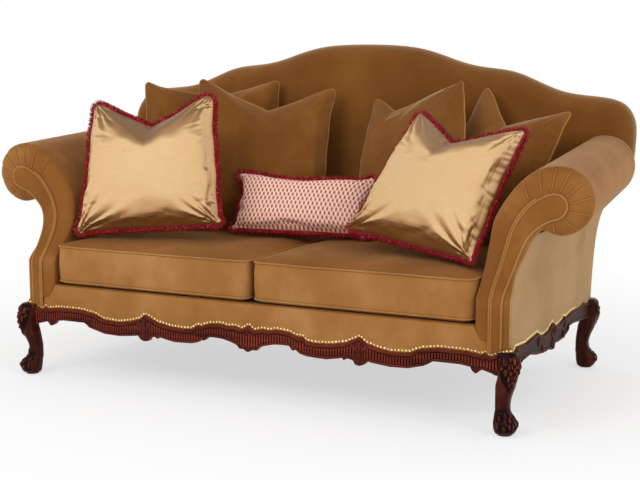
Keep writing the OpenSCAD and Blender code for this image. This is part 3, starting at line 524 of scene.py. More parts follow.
def front_top_z(x):
    return edge_z(APRON_TOP_SHARES, np.abs(x) / APRON_HALF)


def front_low_z(x):
    return edge_z(APRON_LOW_SHARES, np.abs(x) / APRON_HALF)


def dome(d, radius):
    """Height share of a round boss at a distance from its middle."""
    return np.sqrt(np.clip(1 - (d / radius) ** 2, 0, None))


def shell_relief(dx, dz, radius, ribs):
    """A scallop with ribs that fan out upwards from its foot."""
    r = np.hypot(dx, dz + radius * 0.75)
    angle = np.arctan2(dx, dz + radius * 0.75)
    inside = smooth(radius * 1.65 - r, 0, radius * 0.2) * smooth(1.25 - np.abs(angle), 0, 0.2)
    fan = 0.55 + 0.45 * np.cos(angle * ribs)
    return inside * fan * (0.4 + 0.6 * r / (radius * 1.65))


def leaf_relief(dx, dz, width, height):
    """A small pointed leaf that hangs, with a middle vein."""
    body = 1 - (dx / width) ** 2 - np.where(dz > 0, dz / height, -dz / height) ** 1.6
    return np.sqrt(np.clip(body, 0, None)) * (0.75 + 0.25 * np.abs(np.cos(dx / width * 4)))


def write_painted_light(obj, painted_light_marks):
    """Writes the painted light of each point: near 0 plain, just below half painted shade, 1 painted
    highlight.
    """
    layer = obj.data.attributes.new("carving", "FLOAT", "POINT")
    values = np.zeros(len(obj.data.vertices))
    values[:painted_light_marks.size] = painted_light_marks.ravel()
    layer.data.foreach_set("value", values)


def carved_board(name, along, top, low, motifs, place_point, depth, node, wood, fluting=True):
    """A show-wood rail: plain mouldings along both edges, reeds between them, and carving."""
    share = np.linspace(0, 1, BOARD_ROWS)
    grid, painted_light_marks = [], []
    for u, zt, zl in zip(along, top, low):
        z = mix(zt, zl, share)
        from_top = zt - z
        from_low = z - zl
        relief = np.maximum(BEAD * dome(from_top - 5.5, 5.5), BEAD * dome(from_low - 5.0, 5.0))
        middle = smooth(from_top, 11.0, 14.0) * smooth(from_low, 10.0, 12.0)
        reed = float(smooth(abs(math.sin(math.pi * u / REED_PITCH)), 0.35, 0.8)) if fluting else 0.0
        relief = np.where(middle > 0, np.maximum(relief * (1 - middle), 0) + middle * 4.0 * reed, relief)
        # Painted shade in the grooves of the reeds and painted highlights on their ribs
        painted_light_mark = middle * (mix(0.45, 0.95, reed) if fluting else 0.12)
        plain = relief
        for kind, at_u, at_z, size, high in motifs:
            dx, dz = u - at_u, z - at_z
            if kind == "shell":
                relief = np.maximum(relief, high * shell_relief(dx, dz, size, 9.0))
            elif kind == "leaf":
                relief = np.maximum(relief, high * leaf_relief(dx, dz, size, size * 1.9))
            else:
                relief = np.maximum(relief, high * dome(np.hypot(dx, dz), size))
        painted_light_mark = painted_light_mark * (1 - smooth(relief - plain, 0.5, 1.5))
        painted_light_marks.append(np.concatenate([painted_light_mark, [0, 0]]))
        relief = relief * smooth(from_low, -0.1, 1.2) * smooth(from_top, -0.1, 1.2)
        grid.append([place_point(u, relief[k], z[k]) for k in range(BOARD_ROWS)]
                    + [place_point(u, depth, z[-1]), place_point(u, depth, z[0])])
    obj = skin(name, grid, wood, "mahogany", node)
    write_painted_light(obj, np.array(painted_light_marks))


def front_apron():
    xs = np.arange(-APRON_HALF, APRON_HALF + 1.0, REED_PITCH / 6)
    motifs = []
    for side in (-1, 1):
        motifs += [("shell", side * 406, 222, 27, 10.0), ("leaf", side * 406, 188, 20, 10.0),
                   ("knob", side * 362, 189, 8, 7.0), ("knob", side * 449, 186, 8, 7.0),
                   ("leaf", side * 169, 197, 9, 7.5), ("leaf", side * 190, 240, 12, 6.0),
                   ("leaf", side * 352, 187, 8, 7.0), ("leaf", side * 634, 197, 10, 7.5),
                   ("leaf", side * 606, 240, 12, 6.0), ("leaf", side * 798, 192, 12, 8.0),
                   ("leaf", side * 824, 240, 12, 6.5), ("knob", side * 861, 188, 9, 8.0)]
    motifs += [("knob", 0, 174, 15, 7.0), ("leaf", 0, 250, 13, 7.5), ("knob", -26, 180, 7, 5.0),
               ("knob", 26, 180, 7, 5.0)]

    def place_point(x, relief, z):
        return (x, WOOD_Y + 3.0 - relief if relief < 12 else relief, z)

    carved_board("front_apron_carved", xs, front_top_z(xs), front_low_z(xs), motifs,
                 place_point, RAIL_Y, "front_apron", RAIL_WOOD)


def side_share(y):
    return (y - SIDE_START) / (SIDE_END - SIDE_START)


def side_apron(side):
    ys = np.arange(SIDE_START, SIDE_END + 1.0, 2.6)
    at = side_share(ys)
    motifs = [("shell", 477, 226, 24, 7.0), ("leaf", 473, 188, 16, 8.0), ("leaf", 310, 238, 12, 6.0),
              ("leaf", 616, 240, 12, 6.0), ("knob", 118, 207, 8, 6.0), ("knob", 662, 210, 8, 6.0),
              ("leaf", 352, 196, 11, 7.0), ("leaf", 600, 196, 11, 7.0)]
    outer = HALF_W + 8.0

    def place_point(y, relief, z):
        x = outer - SIDE_BOARD if relief == SIDE_BOARD else outer - 3.0 + relief
        return (side * x, y, z)

    name = "left" if side < 0 else "right"
    carved_board(name + "_side_apron_carved", ys, edge_z(SIDE_TOP_SHARES, at),
                 edge_z(SIDE_LOW_SHARES, at), motifs, place_point, SIDE_BOARD, name + "_side_apron",
                 SIDE_WOOD, fluting=False)


# Legs

LEG_CORNER_X = 915.0
LEG_TUCK = 11.0
LEG_FRONT_Y = 5.0
LEG_REAR_Y = 987.0
# Height, inset of the middle from the corner, and radius
LEG_RINGS = [
    (3, 12, 20), (6, 10, 28), (14, 8.5, 33), (26, 8, 36), (40, 9, 36), (52, 13, 32), (62, 18, 27.5),
    (76, 21, 23.5), (100, 21, 23.5), (125, 17, 26), (150, 11, 30), (170, 8, 33), (190, 7, 35),
    (206, 8, 35), (222, 11, 33), (236, 14, 31.5), (248, 16, 30), (257, 18, 28.5)]
LEG_ROWS = 130
LEG_SIDES = 128
SHIN_Z = 130
# The leg is nearly round, and turns into a squarer block between these heights
ROUND_POWER, SQUARE_POWER = 0.78, 0.62
BLOCK_FROM, BLOCK_TO = 225, 250
# How far the leg stands in below its top block, and how much narrower it is there
TUCK_BY_Z = [(0, 1), (158, 1), (183, 0.6), (232, 0), (257, 0)]
SLIM_BY_Z = [(0, 0), (150, 0), (183, 0.4), (232, 0), (257, 0)]


def leg(k, name):
    right, rear = k % 2 == 1, k > 1
    rows, painted_light_marks = [], []
    for z, inset, radius in spaced(dense(LEG_RINGS, 12), LEG_ROWS):
        row, painted_light_mark = [], []
        tuck, slim = (LEG_TUCK * np.interp(z, *zip(*table)) for table in (TUCK_BY_Z, SLIM_BY_Z))
        power = mix(ROUND_POWER, SQUARE_POWER, smooth(z, BLOCK_FROM, BLOCK_TO))
        for i in range(LEG_SIDES):
            turn = 2 * math.pi * i / LEG_SIDES
            # Angle from the outward diagonal of the corner, which points to -135 degrees
            phi = math.atan2(math.sin(turn - math.pi * 1.25), math.cos(turn - math.pi * 1.25))
            c, s = math.cos(turn), math.sin(turn)
            x = math.copysign(abs(c) ** power, c)
            y = math.copysign(abs(s) ** power, s)
            relief = leg_relief(phi, z)
            swell = radius + relief
            painted_light_mark.append(carving_painted_light(phi, z, relief))
            row.append((-(LEG_CORNER_X - inset - tuck) + (swell - slim) * x,
                        LEG_FRONT_Y + inset + swell * y, z))
        rows.append(row)
        painted_light_marks.append(painted_light_mark)
    rows = np.array(rows)
    # The modelled leg is the front left one: the others are mirrored from it
    if right:
        rows[..., 0] *= -1
    if rear:
        rows[..., 1] = LEG_FRONT_Y + LEG_REAR_Y - rows[..., 1]
    obj = skin(name + "_carved", rows, LEG_WOOD, "mahogany", name)
    write_painted_light(obj, np.array(painted_light_marks))


def bosses(phi, z, spots):
    """The rise of small round and leafy bosses, each made on both sides of the diagonal."""
    high = 0.0
    for at, up, wide, tall, rise in spots:
        for turn in ({at, -at}):
            d = ((phi - turn) / wide) ** 2 + ((z - up) / tall) ** 2
            if d < 1:
                lobes = 0.8 + 0.2 * math.cos((phi - turn) / wide * 5)
                high = max(high, rise * (1 - d) ** 0.5 * lobes)
    return high


# Angle from the corner's outward diagonal, height, half width in angle, half height and rise
KNEE_BOSSES = [
    (0.0, 240, 0.24, 14, 7.0), (0.42, 243, 0.2, 8, 5.5), (0.8, 234, 0.22, 12, 6.0),
    (1.16, 241, 0.14, 7, 4.5), (0.24, 223, 0.13, 9, 6.0), (0.52, 222, 0.15, 12, 5.0),
    (1.05, 217, 0.2, 9, 5.5), (0.0, 212, 0.12, 10, 6.5), (0.33, 204, 0.22, 9, 5.5),
    (0.74, 206, 0.17, 13, 5.5), (0.14, 190, 0.12, 9, 5.5), (0.46, 184, 0.2, 11, 5.0),
    (0.0, 172, 0.16, 9, 5.5), (0.26, 165, 0.12, 10, 4.5), (0.0, 150, 0.1, 12, 4.0)]
FOOT_BOSSES = [
    (0.0, 80, 0.14, 14, 4.5), (0.32, 66, 0.16, 10, 4.0), (0.0, 54, 0.2, 9, 5.0),
    (0.5, 48, 0.14, 13, 4.5), (0.9, 56, 0.18, 10, 4.0), (0.2, 35, 0.2, 9, 4.5),
    (0.66, 28, 0.2, 8, 4.5), (1.05, 36, 0.16, 13, 4.0)]


def carving_painted_light(phi, z, relief):
    """Painted shade on the ground between the bosses, and painted highlights on their heights."""
    knee = smooth(z, 128, 150) * smooth(0.35 + 1.15 * smooth(z, 130, 215) - abs(phi), 0, 0.15)
    foot = smooth(92 - z, 0, 20) * smooth(z, 8, 20) * smooth(1.35 - abs(phi), 0, 0.15)
    carved = max(knee, foot)
    return carved * mix(0.45, 1.0, smooth(relief, 1.5, 5.8))


def leg_relief(phi, z):
    """Carved leaves and berries on the knee and the foot, and an edge bead down the shin."""
    high = bosses(phi, z, KNEE_BOSSES if z > SHIN_Z else FOOT_BOSSES)
    high *= 1.0 + 0.45 * noise.noise(Vector((phi * 6.0, z / 7.0, 0.0)))
    shin = smooth(z, 70, 95) * smooth(190 - z, 0, 25)
    for edge in (-1.55, 1.55):
        high += shin * 1.6 * math.exp(-((phi - edge) / 0.13) ** 2)
    return high


# Arms: the same outlines as the frame's

ARM_IN_SHARES = [
    (0, 0), (0, 0.263), (0, 0.339), (-0.01, 0.405), (-0.026, 0.498), (-0.01, 0.571),
    (0.026, 0.627), (0.13, 0.7), (0.44, 0.809), (0.88, 0.918), (1.36, 0.982)]
ARM_OUT_SHARES = [
    (1.36, 0.618), (1.28, 0.6), (1.175, 0.571), (1.044, 0.498), (0.912, 0.405),
    (0.92, 0.339), (0.965, 0.263), (0.965, 0)]
WELT_IN_SHARES = [
    (0.447, 0), (0.447, 0.263), (0.447, 0.339), (0.456, 0.405), (0.509, 0.498), (0.579, 0.571),
    (0.63, 0.609), (0.7, 0.655), (0.9, 0.733), (1.16, 0.798), (1.49, 0.84)]
WELT_OUT_SHARES = [
    (1.43, 0.646), (1.13, 0.609), (1.07, 0.571), (0.94, 0.498), (0.86, 0.405),
    (0.825, 0.339), (0.79, 0.263), (0.79, 0)]
ROLL_TURNS = [90, 60, 30, 0, -30, -60, -90, -120]
ROLL_R = 107.0
ROLL_NARROWING = 44.0
ROLL_CLIMB = 42.0
SCROLL_R = 50.0
ROLL_CENTRE = np.array([HALF_W + 106.0, ARM_Z + ARM_H - ROLL_R])
SCROLL_CENTRE = ROLL_CENTRE - [10.0, 12.5]
NARROW_SHARES = [0] * 9 + [0.3, 0.7] + [1] * 7 + [0.45, 0.1] + [0] * 7
CLIMB_SHARES = [0] * 7 + [0.25, 0.5, 0.8, 1] + [1] * 7 + [0.45, 0.1] + [0] * 7
CREASE_Z = ARM_Z + 0.263 * ARM_H
LEAN_TOP_Z = ARM_Z + 0.597 * ARM_H


def arm_loop(inner, outer, centre, radius):
    start, end = ([(ARM_IN_X + ARM_W * a, ARM_Z + ARM_H * b) for a, b in shares]
                  for shares in (inner, outer))
    arc = [(centre[0] + radius * math.cos(math.radians(a)),
            centre[1] + radius * math.sin(math.radians(a))) for a in ROLL_TURNS]
    return np.array(start + arc + end)


def softened(line, spread, rounds):
    """A line with its small kinks evened out and its ends kept."""
    line = line.copy()
    for _ in range(rounds):
        line[1:-1] += spread * (line[:-2] + line[2:] - 2 * line[1:-1])
    return line


def nail_z(x):
    """Just above the nails of the front."""
    return front_top_z(x) + 12.0


def foot_z(x):
    """Where an arm's front ends: at the nails, and in a curve up to the deck beside the seat."""
    t = ramp(np.abs(x), ARM_IN_X, ARM_IN_X + WELT_IN_SHARES[0][0] * ARM_W - 4.0)
    rise = 1 - np.sqrt(1 - (1 - t) ** 2)
    return np.where(t < 1, mix(nail_z(x) + 30.0, DECK_Z - 6.0, rise), nail_z(x))


def with_feet(line):
    """An outline drawn on from both ends down to the nails."""
    steps = np.linspace(1, 0, FOOT_COLS, endpoint=False)
    ends = [np.stack([np.full(FOOT_COLS, x), mix(z, nail_z(x), steps)], 1) for x, z in line[[0, -1]]]
    return np.concatenate([ends[0], line, ends[1][::-1]])


def welt_outline():
    """The welt's line: a clear bend at the crease and a smooth run above it."""
    line = softened(dense(arm_loop(WELT_IN_SHARES, WELT_OUT_SHARES, SCROLL_CENTRE, SCROLL_R)), 0.25, 8)
    smoother = softened(line, 0.25, 70)
    bend = smooth(line[:, 1], CREASE_Z + 30.0, CREASE_Z + 90.0)[:, None]
    return mix(line, smoother, bend)


FOOT_COLS = 4
ARM_OUTLINE = with_feet(dense(arm_loop(ARM_IN_SHARES, ARM_OUT_SHARES, ROLL_CENTRE, ROLL_R)))
WELT_OUTLINE = with_feet(welt_outline())
NARROW = np.pad(dense(np.array(NARROW_SHARES)[:, None])[:, 0].clip(0, 1), FOOT_COLS)
CLIMB = np.pad(dense(np.array(CLIMB_SHARES)[:, None])[:, 0].clip(0, 1), FOOT_COLS)


def facing_y(z):
    lean = np.sin(np.pi / 2 * ramp(z, CREASE_Z, LEAN_TOP_Z))
    return FRONT_Y - 3.5 + 4.4 * smooth(z, CREASE_Z, CREASE_Z + 110) + 113.0 * np.power(lean, 1.15)


def round_d(z):
    return ARM_W * mix(0.12, 0.29, ramp(z, CREASE_Z, LEAN_TOP_Z))


def arm_front_row(turn):
    p = mix(WELT_OUTLINE, ARM_OUTLINE, math.sin(turn))
    half = len(p) // 2
    p[:half, 1] = np.maximum(p[:half, 1], foot_z(p[:half, 0]))
    y = facing_y(p[:, 1]) + round_d(p[:, 1]) * (1 - math.cos(turn))
    return np.stack([p[:, 0], y, p[:, 1]], 1)


def arm_row(s):
    x = ARM_OUTLINE[:, 0] - s * ROLL_NARROWING * NARROW
    z = ARM_OUTLINE[:, 1] + s * ROLL_CLIMB * CLIMB
    front = facing_y(ARM_OUTLINE[:, 1]) + round_d(ARM_OUTLINE[:, 1])
    z = np.maximum(z, np.where(np.arange(len(z)) < len(z) // 2, DECK_Z - 6.0, 0.0))
    return np.stack([x, mix(front, inside_y(z) + 4.0, s), z], 1)


def mirrored(rows, side):
    rows = np.array(rows, float)
    rows[..., 0] *= side
    return rows


# The dense outline's columns from here on are the outer side, below the roll
OUTSIDE_FROM = FOOT_COLS + 6 * (len(ARM_IN_SHARES) + len(ROLL_TURNS))

# Places along the welt where the pleats of the scroll start, as column numbers
PLEAT_COLUMNS = [58, 64, 69, 74, 80, 86, 92, 99, 107]
WELT_R = 3.3
PLEAT_R = 1.5
PLEAT_DEPTH = 3.5
PANEL_PUFF = 5.0
CREASE_DEPTH = 4.5


def arm(side, name):
    rows = [arm_front_row(t) for t in np.linspace(0, math.pi / 2, 12)]
    rows += [arm_row(s) for s in np.linspace(0.02, 1, 40)]
    rows = np.array(rows)
    # Each pleat draws the rounded front in along a line from the welt outwards
    columns = np.arange(rows.shape[1])
    for r in range(16):
        depth = PLEAT_DEPTH * smooth(r, 0, 2) * (1 - smooth(r, 11, 15))
        for c in PLEAT_COLUMNS:
            rows[r, :, 1] += depth * np.exp(-((columns - c) / 0.7) ** 2)
            rows[r, :, 1] -= 0.5 * depth * np.exp(-((columns - c + 2.5) / 1.6) ** 2)
    rows[..., 1] += wave(rows, 160.0, 2.0, 3.1) * smooth(rows[..., 1], 170, 260)
    skin(name + "_cover", mirrored(rows, side), VELVET, "velvet", name)


def arm_facing(side, name):
    """The panel between the welts, padded a little and creased where it starts to lean."""
    half = len(WELT_OUTLINE) // 2
    inner, outer = spaced(WELT_OUTLINE[:half], 90), spaced(WELT_OUTLINE[::-1][:half], 90)
    rows = []
    for a, b in zip(inner, outer):
        row = []
        for t in np.linspace(0, 1, 15):
            p = mix(a, b, t)
            puff = PANEL_PUFF * (4 * t * (1 - t)) ** 0.5
            crease = CREASE_DEPTH * math.exp(-((p[1] - CREASE_Z - 3) / 4.0) ** 2)
            row.append((p[0], facing_y(p[1]) - puff + crease, p[1]))
        rows.append(row)
    rows = mirrored(rows, side)
    back = rows.copy()
    back[..., 1] += 8.0
    grid = np.concatenate([rows, back[:, ::-1]], 1)
    skin(name + "_panel", grid, VELVET, "velvet", name)


def arm_welts(side, name):
    paths = []
    for shift in (-3.0, 3.4):
        out = outline_shift(WELT_OUTLINE, shift)
        y = facing_y(out[:, 1]) - 3.2
        paths.append(mirrored(spaced(np.stack([out[:, 0], y, out[:, 1]], 1), 170), side))
    half = len(paths[0]) // 2
    # The second cord of the pair follows the inner side only
    paths[1] = paths[1][:int(half * 0.9)]
    for c in PLEAT_COLUMNS:
        line = np.array([arm_front_row(t)[c] for t in np.linspace(0.03, 1.15, 9)])
        line[:, 1] -= 0.6
        paths.append(mirrored(line, side))
    radii = [WELT_R] * 2 + [PLEAT_R] * len(PLEAT_COLUMNS)
    cords(name + "_cord", paths, radii, PIPING, "velvet", replaces=[name])


def outline_shift(line, shift):
    ahead = np.gradient(line, axis=0)
    ahead /= np.linalg.norm(ahead, axis=1)[:, None]
    normal = np.stack([-ahead[:, 1], ahead[:, 0]], 1)
    return line + normal * shift


def down_to_nails(x, y, z, foot_y):
    """A column of the outside panel, drawn on down to the nails of the side."""
    foot = edge_z(SIDE_TOP_SHARES, side_share(foot_y)) + 0.5
    below = [(x[0], foot_y, mix(foot, ARM_Z, t)) for t in np.linspace(0, 1, 6)[:-1]]
    return below + list(zip(x, y, z))


def outside_arm(side, name):
    """The outside panel, from under the roll down to the nails and back to the rear corner."""
    face, narrow, climb = (a[OUTSIDE_FROM:-FOOT_COLS][::-1] for a in (ARM_OUTLINE, NARROW, CLIMB))
    rows = []
    for s in np.linspace(0, 1, 110):
        x = face[:, 0] - s * ROLL_NARROWING * narrow + 4.4
        z = face[:, 1] + s * ROLL_CLIMB * climb
        start = facing_y(face[:, 1]) + round_d(face[:, 1]) - 7.0
        y = mix(start, inside_y(z) + 3.0, s)
        x = x - 9.0 * smooth(s, 0.012, 0.0) ** 2
        x = mix(x, np.maximum(x, back_x(z, side) + 3.0), smooth(s, 0.93, 1.0))
        rows.append(down_to_nails(x, y, z, mix(RAIL_Y + 1.0, inside_y(ARM_Z), s)))
    # The same cloth goes on over the side of the back
    for t in np.linspace(0.05, 1, 14):
        past = np.maximum(x, back_x(z, side) + 3.0)
        rows.append(down_to_nails(past, mix(y, outside_y(z) - 5.0, t), z,
                                  mix(inside_y(ARM_Z), outside_y(ARM_Z) - 5.0, t)))
    rows = np.array(rows)
    rows[..., 0] += wave(rows, 150.0, 1.2, 7.0)
    rows = mirrored(rows, side)
    inner = rows.copy()
    inner[..., 0] -= side * 4.0
    grid = np.concatenate([rows, inner[:, ::-1]], 1)
    skin(name + "_panel", grid, LIT_OUTSIDE_VELVET, "velvet", name)


# Back

INSIDE_MIDDLE_Z = 640.0
INSIDE_SWELL = 12.0
OUTSIDE_MIDDLE_Z = 600.0
TOP_ROLL = 55.0
BACK_SHARES = [
    (1, 0.41), (1.02, 0.4915), (1.061, 0.543), (1.12, 0.586), (1.148, 0.6215), (1.161, 0.655),
    (1.162, 0.731), (1.162, 0.764), (1.138, 0.8055), (1.108, 0.826), (1.071, 0.84),
    (0.987, 0.8465), (0.904, 0.85), (0.842, 0.8615), (0.778, 0.879), (0.691, 0.909),
    (0.634, 0.923), (0.54, 0.928), (0.466, 0.9355), (0.385, 0.953), (0.316, 0.973),
    (0.225, 0.9915), (0.13, 0.9975)]


def back_outline():
    half = [(HALF_W, BACK_Z)] + [(a * HALF_W, b * BACK_H) for a, b in BACK_SHARES]
    loop = half + [(0.0, BACK_H)] + [(-x, z) for x, z in half[::-1]]
    line = softened(dense(loop, 7), 0.25, 40)
    # The left shoulder stands in a little
    line[:, 0] *= np.where(line[:, 0] < 0, 1 - 0.018 * smooth(line[:, 1], 500, 700), 1)
    return line


BACK_OUTLINE = back_outline()


def back_x(z, side):
    """Half width of the back on one side at a height below its shoulder."""
    half = BACK_OUTLINE[:60] if side > 0 else BACK_OUTLINE[::-1][:60]
    return np.interp(z, np.maximum.accumulate(half[:, 1]), np.abs(half[:, 0]))


# Inset share and depth share of each ring, from the inside face to the outside face
BACK_PROFILE = [(1.25, 0.0), (1.0, 0.0), (0.8, 0.012), (0.6, 0.04), (0.42, 0.085), (0.25, 0.15),
                (0.12, 0.24), (0.03, 0.34), (0, 0.44), (0.02, 0.56), (0.06, 0.68), (0.12, 0.8),
                (0.22, 0.9), (0.38, 0.97), (0.6, 1.0)]


def back_ring(inset, depth):
    z = BACK_OUTLINE[:, 1]
    reach = TOP_ROLL * mix(0.1, 1.0, ramp(z, LEAN_TOP_Z, ARM_Z + ARM_H))
    p = outline_shift(BACK_OUTLINE, 1.0)
    normal = p - BACK_OUTLINE
    # No point goes below the flat underside
    q = BACK_OUTLINE + normal * (reach * inset)[:, None]
    q[:, 1] = np.maximum(q[:, 1], BACK_Z)
    return np.stack([q[:, 0], mix(inside_y(q[:, 1]), outside_y(q[:, 1]), depth), q[:, 1]], 1)


def back():
    rows = []
    # The inside face swells a little towards its middle
    inner = back_ring(1.25, 0.0)
    for t in np.linspace(0.94, 0.06, 16):
        p = inner.copy()
        p[:, 0] = inner[:, 0] * (1 - 0.75 * t)
        p[:, 2] = mix(inner[:, 2], INSIDE_MIDDLE_Z, t)
        p[:, 1] = inside_y(p[:, 2]) - INSIDE_SWELL * (1 - (1 - t) ** 2)
        rows.append(p)
    rows += [back_ring(a, b) for a, b in BACK_PROFILE]
    rows = np.array(rows)
    rows[..., 1] += wave(rows, 210.0, 3.0, 11.0)
    skin("back_cover", rows, SHADED_BACK_VELVET, "velvet", "back_upholstery")


def outside_back():
    ring = back_ring(0.62, 1.0)
    ring[:, 2] = np.where(ring[:, 2] < BACK_Z + 30, RAIL_TOP + 0.5, ring[:, 2])
    rows = []
    for t, out in ((0.9, 5.0), (0.6, 5.0), (0.3, 5.0), (0.08, 4.6), (0.02, 3.6), (0.0, 1.6)):
        p = ring.copy()
        p[:, 0] = ring[:, 0] * (1 - t)
        p[:, 2] = mix(ring[:, 2], OUTSIDE_MIDDLE_Z, t)
        p[:, 1] = outside_y(p[:, 2]) + out
        rows.append(p)
    front = ring.copy()
    front[:, 1] = outside_y(front[:, 2]) - 2.0
    rows.append(front)
    skin("outside_back_panel", rows, SHADED_BACK_VELVET, "velvet", "outside_back")


def back_welt():
    """A cord round the seam between the top's roll and the outside back."""
    ring = back_ring(0.57, 1.0)
    ring = ring[ring[:, 2] > BACK_Z + 12]
    ring[:, 1] += 2.6
    cords("back_seam_cord", [spaced(ring, 240)], 3.2, PIPING, "velvet")


# Seat

BORDER_HALF = 903.0
NAIL_PITCH = 12.3
PIPING_R = 3.0


def front_border():
    """Cloth from the nails up to the deck, rolled over its top edge and tugged at each nail."""
    face = FRONT_Y - 0.6
    xs = np.linspace(-BORDER_HALF, BORDER_HALF, 420)
    rows = []
    for x in xs:
        low = max(front_top_z(x), 250.0 if abs(x) > APRON_HALF else 0.0) + 0.5
        high = DECK_Z if abs(x) < ARM_IN_X else max(foot_z(x) + 6.0, low + 14.0)
        column = []
        for t in np.linspace(0, 1, 22):
            z = mix(low, high - 10.0, t)
            tug = 0.9 * math.sin(math.pi * x / NAIL_PITCH) * math.exp(-(z - low) / 14.0)
            column.append((x, face - 1.6 * math.sin(math.pi * t) + tug, z))
        for a in np.linspace(0, math.pi / 2, 7)[1:]:
            column.append((x, face + 12.0 * (1 - math.cos(a)), high - 10.0 + 10.0 * math.sin(a)))
        rows.append(column + [(x, RAIL_Y - 0.5, high), (x, RAIL_Y - 0.5, low)])
    skin("front_border_cloth", rows, LIT_SEAT_VELVET, "velvet", "front_border")


SEAT_LEFT = 8.2
SEAT_RIGHT = 780.8
SEAT_FRONT = 23.5
SEAT_CORNER = 34.0
SEAT_BASE = DECK_Z + 0.3
SEAT_THICK = SEAT_H - SEAT_BASE
SEAT_CROWN = 21.0


def rounded_plan(x0, x1, y0, y1, radius, per=10, along=34):
    """Corners and straight sides of a rounded rectangle, with even steps."""
    corners = [(x1 - radius, y0 + radius, -90), (x1 - radius, y1 - radius, 0),
               (x0 + radius, y1 - radius, 90), (x0 + radius, y0 + radius, 180)]
    loop = []
    for i, (cx, cy, start) in enumerate(corners):
        arc = [(cx + radius * math.cos(math.radians(start + a)),
                cy + radius * math.sin(math.radians(start + a))) for a in np.linspace(0, 90, per)]
        loop += arc
        nx, ny, turn = corners[(i + 1) % 4]
        far = (nx + radius * math.cos(math.radians(turn)), ny + radius * math.sin(math.radians(turn)))
        loop += [tuple(mix(np.array(arc[-1]), np.array(far), t))
                 for t in np.linspace(0, 1, along + 2)[1:-1]]
    return np.array(loop)


def seat_ring(z, inset, radius):
    """The seat cushion's plan at a height, drawn in from its full size by an inset."""
    rear = float(inside_y(z)) - 9.2
    plan = rounded_plan(SEAT_LEFT + inset, SEAT_RIGHT - inset, SEAT_FRONT + inset, rear - inset, radius)
    return [(x, y, z) for x, y in plan]


def seat_cushion(side, name, body):
    profile = [(60, 0.0, 0.0), (22, 0.0, 0.0), (11, 0.02, 0.0), (4, 0.06, 0.0)]
    profile += [(-3.2 * math.sin(math.pi * t), 0.1 + 0.86 * t, 0.0) for t in np.linspace(0, 1, 14)]
    profile += [(2.0, 1.0, 0.04)]
    profile += [(inset, 1.0, 1 - math.exp(-inset / 42.0)) for inset in np.geomspace(6, 350, 26)]
    rows = np.array([seat_ring(SEAT_BASE + SEAT_THICK * share + SEAT_CROWN * crown, inset,
                               max(SEAT_CORNER - inset / 2, 5.0)) for inset, share, crown in profile])
    top = smooth(rows[..., 2], SEAT_H - 4, SEAT_H + 6)
    rows[..., 2] += top * (wave(rows, 190.0, 5.0, 2.0 + side) + wave(rows, 60.0, 1.2, 5.0))
    flank = 1 - smooth(np.abs(rows[..., 2] - (SEAT_BASE + SEAT_THICK / 2)), 20, SEAT_THICK / 2 - 6)
    rows[..., 1] += flank * wave(rows * [1, 0.2, 1], 90.0, 3.0, 9.0 * side)
    rows = mirrored(rows, side)
    shape = skin(name + "_cover", rows, LIT_SEAT_VELVET, "velvet", name, body)


def seat_welts(side, name, body):
    paths = []
    for z in (SEAT_H + 1.4, SEAT_BASE + 13.0):
        loop = np.array(seat_ring(z, -1.6, SEAT_CORNER + 2.0))
        if z > SEAT_H:
            loop[:, 2] += wave(loop, 190.0, 1.5, 4.0 + side)
        paths.append(mirrored(loop, side))
    cords(name + "_cord", paths, PIPING_R, PIPING, "velvet", body, True, [name], 10)


# Scatter cushions

SILK_SIDE = 490.0
SILK_FOOT = 560.0
SIDE_BOW = 0.05
FOOT_BOW = 0.004
LEFT_VELVET = 568.0
RIGHT_VELVET = 520.0
PILLOW_CELLS = 120
CLOTH_CELLS = 32
PILLOW_EDGE = 3.0
UNFILLED = [1.0, 0.9, 1.0]


class Cushion:
    """A scatter cushion's size, its place on the seat and the shape it is beaten into."""

    def __init__(self, name, size, thick, pinch, dent, dent_at, turns, seed, corner=20.0):
        self.name = name
        self.w, self.h = size
        self.corner = corner
        self.thick, self.pinch, self.dent, self.dent_at = thick, pinch, dent, dent_at
        self.turns, self.seed = turns, seed
        low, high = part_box(name)
        self.node_low, self.node_high = np.array(low) / MM, np.array(high) / MM

    def rotation(self):
        yaw, lean, roll = (math.radians(a) for a in self.turns)
        return np.array(Matrix.Rotation(yaw, 3, "Z") @ Matrix.Rotation(-lean, 3, "X")
                        @ Matrix.Rotation(-roll, 3, "Y"))


def pillow_seam(c, u, v):
    """The seam's place in the cushion's own plane, with its dent beaten in from the top."""
    bow = np.where(v < 0, FOOT_BOW, SIDE_BOW)
    # Round off each corner over a short run of both sides
    corner = c.corner / c.w * 2
    a, b = ramp(np.abs(u), 1 - corner, 1), ramp(np.abs(v), 1 - corner, 1)
    ru = np.sign(u) * (np.abs(u) - corner * (a - a * np.sqrt(1 - b * b / 2)))
    rv = np.sign(v) * (np.abs(v) - corner * (b - b * np.sqrt(1 - a * a / 2)))
    x = c.w / 2 * ru * (1 - SIDE_BOW * (1 - v * v)) * (1 - c.pinch * ((1 + v) / 2) ** 2)
    side = np.where(u < c.dent_at, (u + 1) / (c.dent_at + 1), (1 - u) / (1 - c.dent_at))
    drop = c.dent * np.clip(side, 0, 1) ** 1.45 * ((1 + v) / 2) ** 2.4
    z = c.h / 2 * rv * (1 - bow * (1 - u * u)) - drop
    # The seam wanders a little
    sway = c.seed * 1.7
    x = x + 2.4 * np.abs(u) ** 3 * np.sin(5.3 * v + sway)
    x = x + 1.2 * np.abs(u) ** 3 * np.sin(13.0 * v + 2 * sway)
    z = z + (v > 0) * 2.0 * np.abs(v) ** 3 * np.sin(6.1 * u + sway)
    return x, z


